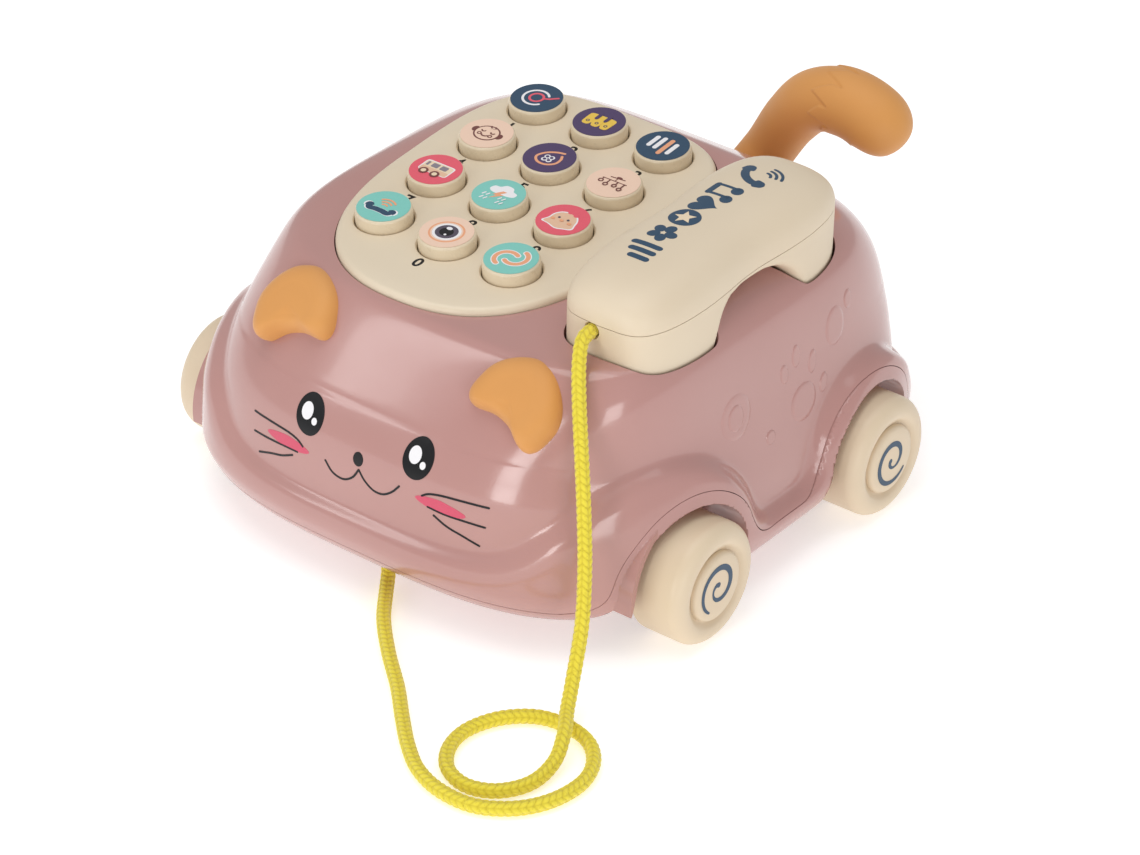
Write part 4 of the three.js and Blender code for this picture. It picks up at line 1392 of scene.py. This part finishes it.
def handset_print(form):
    """Navy shapes along the handset's back, given as (x, y) from above."""
    down = (0, 0, -1)
    parts = []

    def shape(outline, colour="navy", lift=0.06):
        parts.append(laid("shape", form, outline, down, from_above, INKS[colour], lift, rings=3))

    def line(path, width):
        parts.append(stroke("line", form, path, width, down, from_above, INKS["navy"], 0.06))

    def straight(start, end, width):
        line(np.linspace(start, end, 12), width)

    # a handset with three waves
    line(spline([[49.0, 25.0], [49.2, 22.8], [51.2, 19.9], [54.2, 18.2], [56.6, 18.3]]),
         [3.9, 4.1, 4.2, 4.1, 3.8] + [2.5] * 30 + [3.8, 4.1, 4.2, 4.1, 3.9])
    for reach in (2.0, 3.7, 5.4):
        line(arc((54.8, 23.4), reach, 12, 88, 16), 0.9)
    # two notes under one beam
    straight((47.8, 12.0), (47.8, 7.0), 2.0)
    for y in (12.2, 6.8):
        straight((47.8, y), (54.4, y), 1.1)
        shape(ellipse(54.6, y - 0.9, 1.8, 2.0, 10))
    # a heart
    t = np.arange(48) / 48 * TURN
    across = 16 * np.sin(t) ** 3
    rise = 13 * np.cos(t) - 5 * np.cos(2 * t) - 2 * np.cos(3 * t) - np.cos(4 * t)
    shape(np.stack([50.9 - rise * 0.28, 0.4 + across * 0.27], 1))
    # a star on a disc
    shape(ellipse(51.3, -8.6, 4.7, 4.5, 0, 56))
    shape(star(51.3, -8.6, 3.3, 1.5), "cream", 0.10)
    # a flower
    for k in range(5):
        a = k * TURN / 5
        shape(ellipse(51.4 + 2.6 * math.cos(a), -18.6 + 2.6 * math.sin(a), 1.9, 1.6, math.degrees(a), 24))
    # three bars
    for y, low, high in ((-25.8, 47.2, 55.6), (-28.9, 48.4, 55.6), (-32.0, 50.4, 55.6)):
        straight((low, y), (high, y), 1.9)
    keep(join(parts, "handset_print"), "handset")


# ---- ears and tail ---------------------------------------------------------------------

FACE_X = 2.8  # the face's middle
EAR_SPOT = (39.0, -70.2, 70.2)  # from there to the right ear
EAR_TURNS = (("Z", -0.42), ("X", 0.72), ("Z", 0.16))


def turn_about(points, axis, angle):
    matrix = np.array(Matrix.Rotation(angle, 3, axis))
    return points @ matrix.T


def ear_rows(layers, around):
    """A soft pointed pad with a hollow face and a notched foot, lying flat."""
    angle = np.linspace(0, TURN, 2401)[:-1]
    across, along = np.cos(angle), np.sin(angle)
    tip = np.maximum(0, along)
    x = 14.8 * (1 - 0.3 * tip * tip) * bulge(across, 2.6)
    notch = 6 * np.maximum(0, -along) * np.exp(-((across * 1.5) ** 2))
    y = np.where(along < 0, 12 * bulge(along, 3.4) + notch, 14.5 * bulge(along, 2.2))
    plan = evenly(np.stack([x, y], 1), around)
    turn = np.linspace(0.04, 0.96, layers) * math.pi
    rise = -np.cos(turn)
    swell = np.sin(turn) ** 0.42
    rows = np.zeros((layers, around, 3))
    rows[:, :, 0] = plan[None, :, 0] * swell[:, None] * 0.93
    rows[:, :, 1] = plan[None, :, 1] * swell[:, None] * 0.96
    rows[:, :, 2] = (6.3 * rise - 1.2)[:, None]
    hollow = np.exp(-((rows[:, :, 0] / 7.5) ** 2) - ((rows[:, :, 1] + 3.5) / 9.0) ** 2)
    rows[:, :, 2] -= 1.5 * np.maximum(0, rise)[:, None] * hollow
    return rows


def ears():
    layers, around = 44, 140
    for side, name in ((-1, "left"), (1, "right")):
        points = [ear_rows(layers, around).reshape(-1, 3), np.array([0, 0, -7.5]), np.array([0, 0, 5.15])]
        for k, group in enumerate(points):
            for axis, angle in EAR_TURNS:
                group = turn_about(group, axis, angle)
            points[k] = (group + np.array(EAR_SPOT)) * (side, 1, 1) + (FACE_X, AHEAD, 0)
        ear = skin(f"cat_ear_{name}", points[0].reshape(layers, around, 3), points[1], points[2])
        keep(ear, "casing", ORANGE, [f"ear_{name}"])


TAIL_LINE = [[2, 76, 57], [6, 84, 62], [10.5, 89.5, 70.5], [17.5, 91, 83], [26, 90.5, 92],
             [37.5, 90, 95.4], [48, 90, 92.6], [54.5, 90, 84.5]]


def tail():
    """The curled tail; its end is a little thicker, past a zigzag edge of fur."""
    rings, around = 300, 180
    line, _ = curve_through(np.array(TAIL_LINE) + (0, AHEAD, 0), rings)
    t = np.linspace(0, 1, rings)
    end = np.sqrt(np.maximum(0.0, 1 - np.maximum(0, (t - 0.86) / 0.14) ** 2))
    start = 0.8 + 0.2 * ease(t, 0, 0.05)
    radius = (8 + 1.9 * ease(t, 0.25, 0.75)) * end * start
    angle = np.arange(around) / around * TURN
    teeth = np.abs(((angle / TURN * 9) % 1) - 0.35) / 0.65
    border = 0.71 + 0.02 * np.sin(angle * 2 + 0.6) + 0.085 * (teeth - 0.5)
    fur = ease(t[:, None], border[None, :] - 0.003, border[None, :] + 0.004)
    seam = np.exp(-((np.abs(angle - math.pi) / 0.02) ** 2))
    reach = radius[:, None] + 0.42 * fur * end[:, None] - 0.1 * seam[None, :]
    rows = tube_rows(line, np.maximum(reach, 0.02), angle)
    piece = skin("cat_tail", rows[:-1], line[0], line[-1])
    keep(piece, "casing", ORANGE, ["tail"])


# ---- wheels ----------------------------------------------------------------------------


def spiral(turn):
    """The printed curl on a hub, as an outline in the hub's plane."""
    s = np.linspace(0, 1, 90)
    angle = np.radians(235 + turn - 500 * s)
    reach = 7.6 * (1 - 0.88 * s ** 1.4)
    width = 0.75 + 1.15 * np.sin(np.clip(s * 1.3, 0, 1) * math.pi) ** 0.7 + 0.9 * ease(s, 0.75, 1.0)
    path = np.stack([reach * np.cos(angle), reach * np.sin(angle)], 1)
    return band(path, width * 0.95)


def wheels():
    width, track, radius = 18.0, 92.0, 18.2
    # profiles as [radius, distance from the wheel's inner edge]
    profile = [[0, 6.0], [10.0, 6.0], [14.6, 5.6], [14.6, 1.4], [15.0, 0.3], [16.2, 0.2]]
    profile += arc((radius - 2.4, 2.6), 2.4, -80, 0, 8) + [[radius, width - 7.0]]
    profile += arc((radius - 4.2, width - 4.2), 4.2, 0, 90, 12) + [[13.0, width - 0.15], [12.2, width - 0.6]]
    profile += [[11.5, width - 1.3], [10.9, width - 1.6], [10.5, width - 1.7], [0, width - 1.7]]
    cap = [[0, width - 1.6], [10.55, width - 1.6], [10.5, width - 0.9], [10.1, width - 0.15],
           [9.3, width + 0.2], [7.5, width + 0.32], [0, width + 0.38]]
    turns = {("front", 1): 0, ("rear", 1): 85, ("front", -1): 40, ("rear", -1): 150}
    for end, axle in (("front", FRONT_AXLE), ("rear", REAR_AXLE)):
        for hand, side in (("left", -1), ("right", 1)):
            stand = Matrix.Rotation(side * math.pi / 2, 4, "Y")
            shift = Matrix.Translation(Vector((side * (track - width), axle[1], axle[2])) * MM)
            for name, node, shape, around in (("tyre", "wheel", profile, 128), ("hub", "hub_cap", cap, 96)):
                piece = turned(f"{name}_{end}_{hand}", shape, around)
                move(piece, shift @ stand)
                round_over(piece, 40)
                keep(piece, f"{end}_wheels", CREAM_WHEEL, [f"{node}_{end}_{hand}"])
            curl = printed(f"curl_{end}_{hand}", [("navy", spiral(turns[end, side]))], 0.0)
            face = Matrix(((0, 0, side, 0), (side, 0, 0, 0), (0, 1, 0, 0), (0, 0, 0, 1)))
            spot = Vector((side * (track + 0.39), axle[1], axle[2])) * MM
            move(curl, Matrix.Translation(spot) @ face)
            keep(curl, f"{end}_wheels")


# ---- CAD nodes that stay -----------------------------------------------------------------


def dress_frame():
    finishes = {
        "axle_keeper": CREAM, "axle_": STEEL, "battery_door_screw": STEEL, "battery_door": PINK,
        "battery_": SLEEVE, "contact_plate": STEEL, "casing_screw": STEEL, "handset_screw": STEEL,
        "speaker_magnet": STEEL, "speaker_": DARK, "switch_": DARK, "keypad_rubber": RUBBER,
        "circuit_board": BOARD, "handset_knot": CORD, "chassis_knot": CORD,
    }
    for name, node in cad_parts.items():
        for start, material in finishes.items():
            if name.startswith(start):
                dress(node, material)
                break


# ---- studio ------------------------------------------------------------------------------


def softbox(name, place, aim, width, height, power):
    data = bpy.data.lights.new(name, "AREA")
    data.shape = "RECTANGLE"
    data.size, data.size_y, data.energy = width, height, power
    light = placed(name, data)
    light.location = place
    light.rotation_euler = (Vector(aim) - Vector(place)).to_track_quat("-Z", "Y").to_euler()


def studio():
    deselect()
    bpy.ops.mesh.primitive_plane_add(size=6)
    floor = bpy.context.object
    floor.name = "studio_floor"
    finish = Finish("studio_paper", Roughness=0.9)
    finish.shader.inputs["Base Color"].default_value = (0.85, 0.85, 0.85, 1)
    finish.shader.inputs["Emission Color"].default_value = (1, 1, 1, 1)
    finish.shader.inputs["Emission Strength"].default_value = 0.45
    dress(floor, finish.material)
    world = bpy.data.worlds.new("studio")
    world.use_nodes = True
    world.node_tree.nodes["Background"].inputs["Color"].default_value = (1, 1, 1, 1)
    world.node_tree.nodes["Background"].inputs["Strength"].default_value = 0.48
    bpy.context.scene.world = world
    softbox("key_light", (-0.12, -0.3, 1.35), (0, 0, 0.03), 0.9, 0.7, 4.6)
    softbox("roof_light", (0.15, 0.3, 1.3), (0, 0, 0), 0.9, 0.8, 2.2)
    softbox("window_front", (0.13, -1.09, 0.215), (0, -0.08, 0.05), 0.24, 0.34, 1.7)
    softbox("window_side", (0.9, -0.58, 0.2), (0.07, -0.06, 0.06), 0.34, 0.34, 1.7)
    softbox("strip_left", (-0.53, -0.72, 0.62), (0, -0.07, 0.07), 0.10, 0.5, 0.7)
    bpy.context.scene.view_settings.view_transform = "Standard"


handset_whole = handset_skin()
body_form = casing(grown(handset_whole, 0.75))
keypad()
key_caps()
key_prints()
digits()
handset_form = handset(handset_whole)
cat_face(body_form)
side_reliefs(body_form)
handset_print(handset_form)
ears()
tail()
wheels()
dress_frame()
studio()
